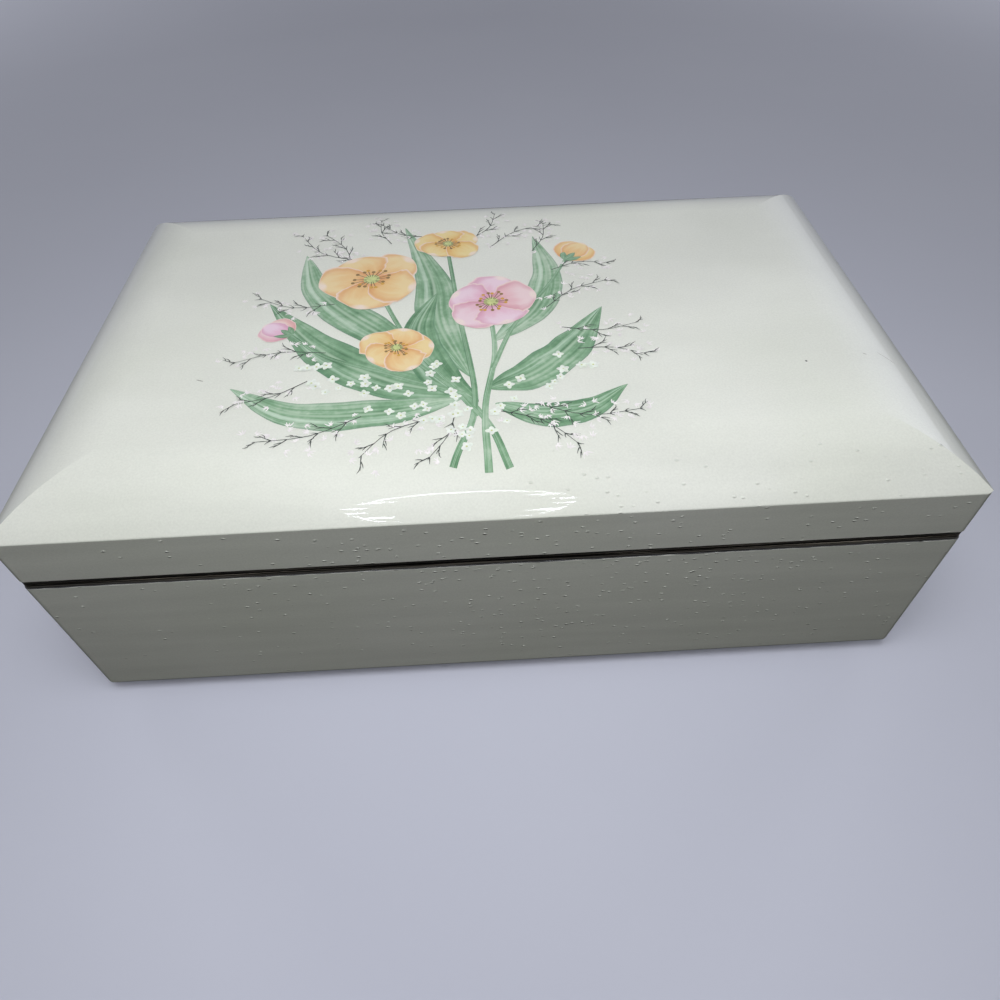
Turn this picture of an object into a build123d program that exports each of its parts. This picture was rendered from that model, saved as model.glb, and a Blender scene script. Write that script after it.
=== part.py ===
from build123d import *
import math
import os

# A lacquered wooden jewellery box with a crowned, hinged lid and an 18-note musical movement.
# Millimetres. X is the length, the front faces -Y, Z is up, and the feet stand on Z = 0.
# The origin is the middle of the footprint, hinges included.

# Case
WIDTH = 280.0
DEPTH = 177.0
WALL = 8.0
BODY_HEIGHT = 59.7
CORNER_ROUND = 2.4
BOTTOM_ROUND = 2.1
RIM_ARRIS_ROUND = 0.45
BOARD_THICK = 4.0
BOARD_RECESS = 8.0
GROOVE_DEPTH = 4.0
GROOVE_CLEARANCE = 0.1

# Black lacquered rims either side of the seam
RIM_THICK = 1.1
RIM_INSET = 0.3
SEAM_GAP = 0.85

# Lid
LID_SIDE_HEIGHT = 17.35
TOP_BOARD_EDGE = 4.0
CROWN_WIDTH = 26.2
CROWN_SLOPE = 40.2
ARRIS_ROUND = 0.7

# Feet and the glue blocks that carry them
FOOT_HEIGHT = 5.0
FOOT_DIAMETER = 13.0
FOOT_TAPER = 0.8
FOOT_FROM_END = 27.0
FOOT_FROM_FACE = 10.5
FOOT_ROUND = 0.8
BLOCK_LENGTH = 24.0
BLOCK_DEPTH = 14.0
FOOT_SCREW_HEAD = 5.0
FOOT_SCREW_SHANK = 2.4
FOOT_SCREW_LENGTH = 9.0
FOOT_COUNTERBORE = 2.0

# Hinges with stop wings
HINGE_LENGTH = 32.0
HINGE_FROM_END = 52.0
LEAF_THICK = 1.0
LEAF_WIDTH = 5.0
LEAF_CLEARANCE = 0.1
KNUCKLE_CLEARANCE = 0.05
KNUCKLE_SHARE = 0.3
KNUCKLE_GAP = 0.15
LEAF_TO_KNUCKLE = 0.25
HINGE_PIN = 1.2
PIN_CLEARANCE = 0.03
PIN_HEAD_DIAMETER = 2.0
PIN_HEAD_THICK = 0.5
WING_REACH = 4.2
WING_SPREAD = 20.0
LID_OPENING = 95.0
WING_SLACK = 0.8
HINGE_SCREW_HEAD = 3.0
HINGE_SCREW_SHANK = 1.5
HINGE_SCREW_LENGTH = 8.0
HINGE_SCREW_SPACING = 20.0
SCREW_CLEARANCE = 0.05
SCREW_SLOT = 0.4

# Velvet-covered lining boards and partitions
LINING = 1.5
LINING_DROP = 5.0
PARTITION = 4.0
PARTITION_HEIGHT = 38.0
PARTITION_ROUND = 1.6
MUSIC_WIDTH = 66.0
MUSIC_DEPTH = 58.0
FRONT_ROW_DEPTH = 56.0
RING_BAY_LENGTH = 140.0

# Ring rolls
RING_ROLLS = 4
ROLL_HEIGHT = 20.0
ROLL_GAP = 0.3

# Looking glass in the lid
PANEL_THICK = 2.0
PANEL_CLEARANCE = 0.2
GLASS_LENGTH = 176.0
GLASS_DEPTH = 104.0
GLASS_THICK = 3.0
TRIM_WIDTH = 5.0
TRIM_LAP = 1.5
TRIM_LIP = 1.0
TRIM_CLEARANCE = 0.1

# Musical movement: bedplate
PLATE_LEFT = 14.5
PLATE_RIGHT = 41.5
PLATE_FRONT = 24.0
PLATE_BACK = 19.0
PLATE_THICK = 2.0
PLATE_ROUND = 3.0
PILLAR_HEIGHT = 4.0
PILLAR_DIAMETER = 7.0
PILLAR_INSET = 4.5
MOVEMENT_SCREW_HEAD = 5.0
MOVEMENT_SCREW_SHANK = 2.5
MOVEMENT_SCREW_LENGTH = 8.0
MOVEMENT_FROM_PARTITION = 3.0

# Winding arbor, butterfly key, crown wheel and spring housing
ARBOR_DIAMETER = 3.0
ARBOR_HOLE = 8.0
BEARING_CLEARANCE = 0.03
KEY_WIDTH = 25.0
KEY_HEIGHT = 8.6
KEY_WAIST = 4.4
KEY_THICK = 1.3
KEY_HUB = 6.0
KEY_HUB_GAP = 0.8
KEY_FLOOR_GAP = 1.8
CROWN_TEETH = 36
CROWN_RADIUS = 12.0
CROWN_FACE = 1.5
CROWN_DISC = 1.0
CROWN_LIFT = 1.2
CROWN_HUB = 7.0
HOUSING_RADIUS = 10.3
HOUSING_WALL = 0.8
HOUSING_HEIGHT = 9.0
HOUSING_LIFT = 1.0
LEG_RADIUS = 14.6
LEG_THICK = 1.2
LEG_WIDTH = 5.0
LEG_DROP = 5.6
SPRING_THICK = 0.35
SPRING_PITCH = 1.1
SPRING_TURNS = 6
SPRING_HEIGHT = 6.0

# Pinned cylinder and comb
CYLINDER_RADIUS = 6.5
CYLINDER_LENGTH = 17.5
CYLINDER_ARBOR = 1.6
PINION_TEETH = 12
PINION_FACE = 1.5
PIN_LENGTH = 0.7
PIN_DIAMETER = 0.4
NOTES = 18
PINS_PER_NOTE = 5
MELODY_STEPS = 36
MELODY_STRIDE = 7
TINE_CLEARANCE = 0.15
TINE_SLIT = 0.22
TINE_THICK = 1.0
BASS_TINE = 10.5
TREBLE_TINE = 6.0
COMB_MARGIN = 2.0
COMB_SCREW_HEAD = 4.4
COMB_SCREW_SHANK = 2.0
COMB_SCREW_HEAD_HEIGHT = 1.2
COMB_SCREW_LENGTH = 5.0
BEARING_THICK = 1.1
BEARING_WIDTH = 6.0
BEARING_GAP = 0.35
BEARING_CROWN = 2.4

# Tooth form: heights in modules, widths at tip and root as shares of the pitch
ADDENDUM = 0.8
DEDENDUM = 1.15
TIP_SHARE = 0.16
ROOT_SHARE = 0.54

# Governor: train wheel, worm and air brake
TRAIN_MODULE = 0.4
CYLINDER_GEAR_TEETH = 30
TRAIN_PINION_TEETH = 10
TRAIN_FACE = 1.2
TRAIN_ANGLE = 20.0
TRAIN_ARBOR = 1.2
WORM_WHEEL_TEETH = 24
WORM_WHEEL_FACE = 1.0
WORM_STARTS = 2
WORM_RADIUS = 1.3
WORM_LENGTH = 7.5
WORM_STEPS = 12
WORM_ARBOR = 1.0
WORM_PIVOT_DEPTH = 1.1
FLY_RADIUS = 3.2
FLY_HEIGHT = 3.0
FLY_THICK = 0.5
FLY_HUB = 2.2
BRIDGE_THICK = 1.2
BRIDGE_WIDTH = 5.0

# Stop rod that the lid presses down
ROD_DIAMETER = 1.2
ROD_LEFT_OF_WORM = 11.5
ROD_ABOVE_RIM = 0.6
GUIDE_DIAMETER = 4.0
GUIDE_HEIGHT = 12.0
GUIDE_FLANGE = 6.5
GUIDE_FLANGE_THICK = 1.2
ROD_ARM = 1.0
ROD_FOOT = 2.0
ROD_TO_FLY = 0.35
PAD_SIZE = 10.0
PAD_GAP = 0.3

# Clear cover over the movement
COVER_THICK = 2.0
COVER_HEIGHT = 31.0
COVER_CLEARANCE = 0.3
COVER_ROD_HOLE = 2.4
LEDGE = 4.0

# Levels from the floor up
Z_WALL = FOOT_HEIGHT
Z_BOARD = Z_WALL + BOARD_RECESS
Z_FLOOR = Z_BOARD + BOARD_THICK
Z_LINED_FLOOR = Z_FLOOR + LINING
Z_PARTITION_TOP = Z_FLOOR + PARTITION_HEIGHT
Z_WALL_TOP = Z_WALL + BODY_HEIGHT
Z_LINING_TOP = Z_WALL_TOP - LINING_DROP
Z_BODY_RIM = Z_WALL_TOP + RIM_THICK
Z_LID_RIM = Z_BODY_RIM + SEAM_GAP
Z_LID_RAIL = Z_LID_RIM + RIM_THICK
Z_ARRIS = Z_LID_RAIL + LID_SIDE_HEIGHT
Z_TOP_BOARD = Z_ARRIS - TOP_BOARD_EDGE
CROWN_ARC = CROWN_WIDTH / math.sin(math.radians(CROWN_SLOPE))
Z_TOP = Z_ARRIS + CROWN_ARC * (1 - math.cos(math.radians(CROWN_SLOPE)))
Z_PANEL = Z_TOP_BOARD - PANEL_THICK
Z_GLASS = Z_PANEL - GLASS_THICK
Z_HINGE = (Z_BODY_RIM + Z_LID_RIM) / 2

# Plan: the hinge wings stand proud of the back, so the case lies that much nearer the front
WING_ANGLE = (LID_OPENING + WING_SLACK) / 2
HINGE_PROUD = WING_REACH * math.cos(math.radians(WING_ANGLE))
Y_BACK = (DEPTH - HINGE_PROUD) / 2
BARREL_RADIUS = (Z_LID_RAIL - Z_WALL_TOP) / 2 - KNUCKLE_CLEARANCE
Y_FRONT = Y_BACK - DEPTH
Y_MIDDLE = (Y_BACK + Y_FRONT) / 2
X_INNER = WIDTH / 2 - WALL
Y_INNER_FRONT = Y_FRONT + WALL
Y_INNER_BACK = Y_BACK - WALL
X_LINED = X_INNER - LINING
Y_LINED_FRONT = Y_INNER_FRONT + LINING
Y_LINED_BACK = Y_INNER_BACK - LINING
X_MUSIC = X_LINED - MUSIC_WIDTH
Y_MUSIC = Y_LINED_BACK - MUSIC_DEPTH
Y_FRONT_ROW = Y_LINED_FRONT + FRONT_ROW_DEPTH
X_RING_BAY = -X_LINED + RING_BAY_LENGTH

# The movement's own datum is its winding arbor, on the top of the bottom board
MX = X_MUSIC + (MUSIC_WIDTH - PLATE_LEFT - PLATE_RIGHT) / 2 + PLATE_LEFT
MY = Y_MUSIC + MOVEMENT_FROM_PARTITION + PLATE_FRONT
Z_PLATE = Z_FLOOR + PILLAR_HEIGHT
Z_DECK = Z_PLATE + PLATE_THICK
CROWN_MODULE = 2 * CROWN_RADIUS / CROWN_TEETH
PINION_RADIUS = CROWN_MODULE * PINION_TEETH / 2
Z_CROWN_DISC = Z_DECK + CROWN_LIFT
Z_CROWN_PITCH = Z_CROWN_DISC + CROWN_DISC + CROWN_MODULE * (1 + DEDENDUM)
Z_CYLINDER = Z_CROWN_PITCH + PINION_RADIUS
Z_COMB = Z_CYLINDER - TINE_THICK / 2
Z_HOUSING = Z_CROWN_DISC + CROWN_DISC + HOUSING_LIFT
Z_HOUSING_TOP = Z_HOUSING + HOUSING_HEIGHT
X_PINION = MX + CROWN_RADIUS - PINION_FACE / 2
X_BEARING_LEFT = X_PINION + PINION_FACE + BEARING_GAP
X_CYLINDER = X_BEARING_LEFT + BEARING_THICK + BEARING_GAP
X_CYLINDER_END = X_CYLINDER + CYLINDER_LENGTH
X_TRAIN = X_CYLINDER_END + BEARING_GAP
X_BEARING_RIGHT = X_TRAIN + TRAIN_FACE + BEARING_GAP
X_WORM_WHEEL = X_BEARING_RIGHT + BEARING_THICK + BEARING_GAP
X_BEARING_OUTER = X_WORM_WHEEL + WORM_WHEEL_FACE + BEARING_GAP
TRAIN_CENTRES = TRAIN_MODULE * (CYLINDER_GEAR_TEETH + TRAIN_PINION_TEETH) / 2
Y_TRAIN = MY + TRAIN_CENTRES * math.cos(math.radians(TRAIN_ANGLE))
Z_TRAIN = Z_CYLINDER + TRAIN_CENTRES * math.sin(math.radians(TRAIN_ANGLE))
WORM_WHEEL_RADIUS = TRAIN_MODULE * WORM_WHEEL_TEETH / 2
X_WORM = X_WORM_WHEEL + WORM_WHEEL_FACE / 2
Y_WORM = Y_TRAIN + WORM_WHEEL_RADIUS + WORM_RADIUS
WORM_LEAD = WORM_STARTS * math.pi * TRAIN_MODULE
Z_WORM = Z_TRAIN - WORM_LENGTH / 2
Z_FLY = Z_TRAIN + WORM_WHEEL_RADIUS + TRAIN_MODULE + BEARING_GAP
Z_BRIDGE = Z_FLY + FLY_HEIGHT + BEARING_GAP
X_BRIDGE = X_WORM + FLY_RADIUS + BEARING_GAP
X_ROD = X_WORM - ROD_LEFT_OF_WORM
Y_ROD = Y_WORM
Z_ROD_TOP = Z_BODY_RIM + ROD_ABOVE_RIM
Z_COVER = Z_FLOOR + COVER_HEIGHT


def block(x, y, z):
    """A box between two limits on each axis."""
    size = (x[1] - x[0], y[1] - y[0], z[1] - z[0])
    return Pos((x[0] + x[1]) / 2, (y[0] + y[1]) / 2, (z[0] + z[1]) / 2) * Box(*size)


def upright(x, y, z, diameter):
    """A round bar standing on X, Y between two heights."""
    return Pos(x, y, (z[0] + z[1]) / 2) * Cylinder(diameter / 2, z[1] - z[0])


def spindle(x, y, z, diameter):
    """A round bar along X between two limits, centred on Y, Z."""
    return Pos((x[0] + x[1]) / 2, y, z) * Rot(0, 90, 0) * Cylinder(diameter / 2, x[1] - x[0])


def plate_between(points, z):
    """A flat plate with a straight-sided outline in plan, between two heights."""
    return extrude(Pos(0, 0, z[0]) * Polygon(*points, align=None), z[1] - z[0], dir=(0, 0, 1))


def plate_across(points, x):
    """A plate with a straight-sided outline in Y and Z, between two limits on X."""
    face = Plane.YZ.offset(x[0]) * Polygon(*points, align=None)
    return extrude(face, x[1] - x[0], dir=(1, 0, 0))


def case_slab(z, inset=0.0):
    """The rounded outline of the case between two heights, drawn in by an inset."""
    outline = RectangleRounded(WIDTH - 2 * inset, DEPTH - 2 * inset, CORNER_ROUND - inset)
    return extrude(Pos(0, Y_MIDDLE, z[0]) * outline, z[1] - z[0])


def mitred_sides(slab):
    """Cut a slab into front, back, left and right rails that meet in 45 degree mitres."""
    half = WIDTH / 2
    outer = [(-half, Y_FRONT), (half, Y_FRONT), (half, Y_BACK), (-half, Y_BACK)]
    inner = [
        (-X_INNER, Y_INNER_FRONT),
        (X_INNER, Y_INNER_FRONT),
        (X_INNER, Y_INNER_BACK),
        (-X_INNER, Y_INNER_BACK),
    ]
    rails = {}
    for start, side in enumerate(("front", "right", "back", "left")):
        end = (start + 1) % len(outer)
        sector = plate_between([outer[start], outer[end], inner[end], inner[start]], (0, Z_TOP))
        rails[side] = slab & sector
    return rails


def rounded_edges(solid, face_z, radius):
    """Round the outer edges of the flat face at a height."""
    edges = [e for e in solid.edges() if abs(e.center().Z - face_z) < radius / 10]
    return fillet(edges, radius)


def gear_outline(teeth, module):
    """A spur gear's face with straight-sided teeth, one of them centred on local X."""
    pitch = 360 / teeth
    tip = module * (teeth / 2 + ADDENDUM)
    root = module * (teeth / 2 - DEDENDUM)
    points = []
    for tooth in range(teeth):
        for radius, share in ((root, -ROOT_SHARE), (tip, -TIP_SHARE), (tip, TIP_SHARE), (root, ROOT_SHARE)):
            angle = math.radians(pitch * (tooth + share / 2))
            points.append((radius * math.cos(angle), radius * math.sin(angle)))
    return Polygon(*points, align=None)


def gear(x, y, z, teeth, module, turn):
    """A spur gear on an axis along X, turned so that a tooth lies at an angle from +Y."""
    face = Plane.YZ.offset(x[0]) * Pos(y, z) * Rot(0, 0, turn) * gear_outline(teeth, module)
    return extrude(face, x[1] - x[0], dir=(1, 0, 0))


def wood_screw(x, y, z, way, head, shank, length, play=0.0):
    """A countersunk slotted screw whose head face lies at z; way is 1 to drive it up, -1 down."""
    cone = (head - shank) / 2
    head_radius = head / 2 + play
    radius = shank / 2 + play
    profile = [
        (0, -play),
        (head_radius, -play),
        (radius, cone),
        (radius, length - shank),
        (0, length + play),
    ]
    screw = revolve(Plane.XZ * Polygon(*profile, align=None), Axis.Z)
    if play == 0.0:
        screw -= Pos(0, 0, SCREW_SLOT / 2) * Box(head, SCREW_SLOT, SCREW_SLOT)
    tilt = 0 if way > 0 else 180
    return Pos(x, y, z) * Rot(tilt, 0, 0) * screw


def pan_screw(x, y, z, way, head, head_height, shank, length, play=0.0):
    """A slotted pan-head screw seated at z; way is 1 to drive it up, -1 down."""
    shaft = upright(0, 0, (0, length + play), shank + 2 * play)
    if play > 0.0:
        screw = shaft
    else:
        cap = upright(0, 0, (-head_height, 0), head)
        cap = fillet(cap.edges().sort_by(Axis.Z)[0], head_height / 2)
        slot = Pos(0, 0, SCREW_SLOT / 2 - head_height) * Box(head, SCREW_SLOT, SCREW_SLOT)
        screw = cap + shaft - slot
    tilt = 0 if way > 0 else 180
    return Pos(x, y, z) * Rot(tilt, 0, 0) * screw


def hinge_centres():
    """The X of each hinge."""
    place = WIDTH / 2 - HINGE_FROM_END
    return (-place, place)


def hinge_screw_places():
    """The X and Y of every hinge screw."""
    y = Y_BACK - BARREL_RADIUS - LEAF_TO_KNUCKLE - LEAF_WIDTH / 2
    places = []
    for centre in hinge_centres():
        for side in (-1, 1):
            places.append((centre + side * HINGE_SCREW_SPACING / 2, y))
    return places


def leaf_notches(z):
    """The recesses that the hinge leaves and barrels need between two heights."""
    front = Y_BACK - BARREL_RADIUS - LEAF_TO_KNUCKLE - LEAF_WIDTH - LEAF_CLEARANCE
    notches = []
    for centre in hinge_centres():
        reach = HINGE_LENGTH / 2 + PIN_HEAD_THICK + LEAF_CLEARANCE
        notches.append(block((centre - reach, centre + reach), (front, Y_BACK + WALL), z))
    return notches


def hinge_leaf(centre, side):
    """One leaf with its knuckles and stop wing; side is -1 on the body, 1 on the lid."""
    half = HINGE_LENGTH / 2
    split = HINGE_LENGTH * (0.5 - KNUCKLE_SHARE)
    if side < 0:
        spans = [(-half, -split - KNUCKLE_GAP), (split + KNUCKLE_GAP, half)]
        z = (Z_WALL_TOP, Z_WALL_TOP + LEAF_THICK)
    else:
        spans = [(-split, split)]
        z = (Z_LID_RAIL - LEAF_THICK, Z_LID_RAIL)
    edge = Y_BACK - BARREL_RADIUS - LEAF_TO_KNUCKLE
    leaf = block((centre - half, centre + half), (edge - LEAF_WIDTH, edge), z)
    inner = BARREL_RADIUS + LEAF_TO_KNUCKLE

    def wing(radii, x):
        corners = []
        for radius, angle in (
            (radii[0], WING_ANGLE),
            (radii[1], WING_ANGLE),
            (radii[1], WING_ANGLE + WING_SPREAD),
            (radii[0], WING_ANGLE + WING_SPREAD),
        ):
            turn = math.radians(side * angle)
            corners.append((Y_BACK + radius * math.cos(turn), Z_HINGE + radius * math.sin(turn)))
        return plate_across(corners, x)

    pieces = [wing((inner, WING_REACH), (centre - half, centre + half))]
    for span in spans:
        x = (centre + span[0], centre + span[1])
        pieces.append(block(x, (edge, Y_BACK - LEAF_TO_KNUCKLE), z))
        pieces.append(spindle(x, Y_BACK, Z_HINGE, 2 * BARREL_RADIUS))
        pieces.append(wing((HINGE_PIN, inner), x))
    leaf = leaf + pieces
    bore = spindle((centre - half, centre + half), Y_BACK, Z_HINGE, HINGE_PIN + 2 * PIN_CLEARANCE)
    leaf -= bore
    face = z[1] if side < 0 else z[0]
    for x, y in hinge_screw_places():
        leaf -= wood_screw(
            x, y, face, side, HINGE_SCREW_HEAD, HINGE_SCREW_SHANK, HINGE_SCREW_LENGTH, SCREW_CLEARANCE
        )
    return leaf


def hinge_screws(side, play=0.0):
    """All the screws of one side's leaves."""
    face = Z_WALL_TOP + LEAF_THICK if side < 0 else Z_LID_RAIL - LEAF_THICK
    screws = []
    for x, y in hinge_screw_places():
        screws.append(
            wood_screw(x, y, face, side, HINGE_SCREW_HEAD, HINGE_SCREW_SHANK, HINGE_SCREW_LENGTH, play)
        )
    return screws


def foot_places():
    """The X, Y and inward Y direction of each foot, by name."""
    x = WIDTH / 2 - FOOT_FROM_END
    places = {}
    for side, across in (("left", -x), ("right", x)):
        places["front_" + side] = (across, Y_FRONT + FOOT_FROM_FACE, 1)
        places["back_" + side] = (across, Y_BACK - FOOT_FROM_FACE, -1)
    return places


def body_walls(nodes):
    """Four mitred walls, grooved for the bottom board, under a black rim."""
    slab = case_slab((Z_WALL, Z_WALL_TOP))
    slab = rounded_edges(slab, Z_WALL, BOTTOM_ROUND)
    slab = rounded_edges(slab, Z_WALL_TOP, RIM_ARRIS_ROUND)
    groove = block(
        (-X_INNER - GROOVE_DEPTH, X_INNER + GROOVE_DEPTH),
        (Y_INNER_FRONT - GROOVE_DEPTH, Y_INNER_BACK + GROOVE_DEPTH),
        (Z_BOARD, Z_FLOOR),
    )
    for side, wall in mitred_sides(slab).items():
        wall -= groove
        if side == "back":
            wall -= hinge_screws(-1, SCREW_CLEARANCE)
        nodes["body_" + side] = wall
    rim = case_slab((Z_WALL_TOP, Z_BODY_RIM), RIM_INSET)
    rim -= block((-X_INNER, X_INNER), (Y_INNER_FRONT, Y_INNER_BACK), (Z_WALL, Z_TOP))
    rim -= leaf_notches((Z_WALL, Z_TOP))
    nodes["body_rim"] = rim


def bottom_board(nodes):
    """The plywood bottom, held in the grooves, with the arbor hole and screw holes."""
    reach = GROOVE_DEPTH - GROOVE_CLEARANCE
    board = block(
        (-X_INNER - reach, X_INNER + reach),
        (Y_INNER_FRONT - reach, Y_INNER_BACK + reach),
        (Z_BOARD, Z_FLOOR),
    )
    board -= upright(MX, MY, (Z_WALL, Z_DECK), ARBOR_HOLE)
    board -= movement_screws(SCREW_CLEARANCE)
    nodes["bottom_board"] = board


def feet(nodes):
    """Four turned feet, each screwed to a glue block in the corner under the bottom board."""
    screws = []
    blocks = []
    for name, (x, y, inward) in foot_places().items():
        foot = Pos(x, y, FOOT_HEIGHT / 2) * Cone(
            FOOT_DIAMETER / 2 - FOOT_TAPER, FOOT_DIAMETER / 2, FOOT_HEIGHT
        )
        foot = fillet(foot.edges().sort_by(Axis.Z)[0], FOOT_ROUND)
        foot -= upright(x, y, (0, FOOT_COUNTERBORE), FOOT_SCREW_HEAD + 4 * SCREW_CLEARANCE)
        hole = pan_screw(
            x, y, FOOT_COUNTERBORE, 1, FOOT_SCREW_HEAD, FOOT_COUNTERBORE / 2,
            FOOT_SCREW_SHANK, FOOT_SCREW_LENGTH, SCREW_CLEARANCE,
        )
        nodes["foot_" + name] = foot - hole
        near = Y_INNER_FRONT if inward > 0 else Y_INNER_BACK
        ends = sorted((near, near + inward * BLOCK_DEPTH))
        glue = block((x - BLOCK_LENGTH / 2, x + BLOCK_LENGTH / 2), ends, (Z_WALL, Z_BOARD))
        wall = "body_front" if inward > 0 else "body_back"
        nodes[wall] -= hole
        blocks.append(glue - hole)
        screws.append(
            pan_screw(
                x, y, FOOT_COUNTERBORE, 1, FOOT_SCREW_HEAD, FOOT_COUNTERBORE / 2,
                FOOT_SCREW_SHANK, FOOT_SCREW_LENGTH,
            )
        )
    nodes["foot_blocks"] = Compound(children=blocks)
    nodes["foot_screws"] = Compound(children=screws)


def hinges(nodes):
    """Two brass butt hinges whose wings meet behind the barrel and stop the lid."""
    pins = []
    for name, centre in zip(("left", "right"), hinge_centres()):
        nodes["hinge_" + name + "_body_leaf"] = hinge_leaf(centre, -1)
        nodes["hinge_" + name + "_lid_leaf"] = hinge_leaf(centre, 1)
        half = HINGE_LENGTH / 2
        pin = spindle((centre - half, centre + half), Y_BACK, Z_HINGE, HINGE_PIN)
        for start in (centre - half - PIN_HEAD_THICK, centre + half):
            pin += spindle((start, start + PIN_HEAD_THICK), Y_BACK, Z_HINGE, PIN_HEAD_DIAMETER)
        pins.append(pin)
    nodes["hinge_pins"] = Compound(children=pins)
    nodes["hinge_body_screws"] = Compound(children=hinge_screws(-1))
    nodes["hinge_lid_screws"] = Compound(children=hinge_screws(1))


def linings(nodes):
    """Velvet-covered boards on the floor and up the walls."""
    z = (Z_FLOOR, Z_LINING_TOP)
    front = block((-X_INNER, X_INNER), (Y_INNER_FRONT, Y_LINED_FRONT), z)
    back = block((-X_INNER, X_INNER), (Y_LINED_BACK, Y_INNER_BACK), z)
    left = block((-X_INNER, -X_LINED), (Y_LINED_FRONT, Y_LINED_BACK), z)
    right = block((X_LINED, X_INNER), (Y_LINED_FRONT, Y_LINED_BACK), z)
    nodes["lining_long"] = Compound(children=[front, back])
    nodes["lining_short"] = Compound(children=[left, right])
    floor = block((-X_LINED, X_LINED), (Y_LINED_FRONT, Y_LINED_BACK), (Z_FLOOR, Z_LINED_FLOOR))
    floor -= block((X_MUSIC, X_LINED), (Y_MUSIC, Y_LINED_BACK), (Z_FLOOR, Z_LINED_FLOOR))
    nodes["floor_lining"] = floor


def partitions(nodes):
    """Four velvet-covered partitions with rounded tops."""
    limits = {
        "partition_side": ((X_MUSIC - PARTITION, X_MUSIC), (Y_LINED_FRONT, Y_LINED_BACK)),
        "partition_music": ((X_MUSIC, X_LINED), (Y_MUSIC - PARTITION, Y_MUSIC)),
        "partition_long": ((-X_LINED, X_MUSIC - PARTITION), (Y_FRONT_ROW, Y_FRONT_ROW + PARTITION)),
        "partition_short": ((X_RING_BAY, X_RING_BAY + PARTITION), (Y_LINED_FRONT, Y_FRONT_ROW)),
    }
    for name, (x, y) in limits.items():
        board = block(x, y, (Z_LINED_FLOOR, Z_PARTITION_TOP))
        run = Axis.X if x[1] - x[0] > y[1] - y[0] else Axis.Y
        edges = board.edges().filter_by(run).group_by(Axis.Z)[-1]
        nodes[name] = fillet(edges, PARTITION_ROUND)


def ring_rolls(nodes):
    """Padded rolls with rounded crowns, laid side by side to grip rings between them."""
    pitch = FRONT_ROW_DEPTH / RING_ROLLS
    radius = (pitch - ROLL_GAP) / 2
    x = (-X_LINED + ROLL_GAP, X_RING_BAY - ROLL_GAP)
    z = (Z_LINED_FLOOR, Z_LINED_FLOOR + ROLL_HEIGHT - radius)
    for count in range(RING_ROLLS):
        y = Y_LINED_FRONT + pitch * (count + 0.5)
        roll = block(x, (y - radius, y + radius), z)
        roll += spindle(x, y, z[1], 2 * radius)
        nodes["ring_roll_" + str(count + 1)] = roll


def pillar_places():
    """The X and Y of the bedplate's four screw pillars."""
    xs = (MX - PLATE_LEFT + PILLAR_INSET, MX + PLATE_RIGHT - PILLAR_INSET)
    ys = (MY - PLATE_FRONT + PILLAR_INSET, MY + PLATE_BACK - PILLAR_INSET)
    return [(x, y) for x in xs for y in ys]


def movement_screws(play=0.0):
    """Screws driven up through the bottom board into the bedplate's pillars."""
    return [
        pan_screw(
            x, y, Z_BOARD, 1, MOVEMENT_SCREW_HEAD, MOVEMENT_SCREW_SHANK / 2,
            MOVEMENT_SCREW_SHANK, MOVEMENT_SCREW_LENGTH, play,
        )
        for x, y in pillar_places()
    ]


def comb_outline():
    """The outlines of the comb, with long bass tines at the left, and of the ledge under its root."""
    pitch = CYLINDER_LENGTH / NOTES
    tip = MY - CYLINDER_RADIUS - PIN_LENGTH - TINE_CLEARANCE

    def root(x):
        share = (x - X_CYLINDER) / CYLINDER_LENGTH
        return tip - BASS_TINE + (BASS_TINE - TREBLE_TINE) * share

    left = X_CYLINDER - COMB_MARGIN
    right = X_CYLINDER_END + COMB_MARGIN
    back = MY - PLATE_FRONT + COMB_MARGIN / 4
    points = [(left, back), (left, root(left))]
    for note in range(NOTES):
        x = X_CYLINDER + pitch * (note + 0.5)
        half = (pitch - TINE_SLIT) / 2
        points += [(x - half, root(x - half)), (x - half, tip)]
        points += [(x + half, tip), (x + half, root(x + half))]
    points += [(right, root(right)), (right, back)]
    ledge = [(left, back), (left, root(left) - TINE_SLIT), (right, root(right) - TINE_SLIT), (right, back)]
    return points, ledge


def comb_screw_places():
    """The X and Y of the two comb screws."""
    y = MY - PLATE_FRONT + COMB_SCREW_HEAD / 2 + COMB_MARGIN / 2
    return [(X_CYLINDER + COMB_MARGIN, y), (X_CYLINDER_END - COMB_MARGIN, y)]


def comb_screws(play=0.0):
    """Two pan-head screws that clamp the comb to its ledge."""
    return [
        pan_screw(
            x, y, Z_COMB + TINE_THICK, -1, COMB_SCREW_HEAD, COMB_SCREW_HEAD_HEIGHT,
            COMB_SCREW_SHANK, COMB_SCREW_LENGTH, play,
        )
        for x, y in comb_screw_places()
    ]


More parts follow.
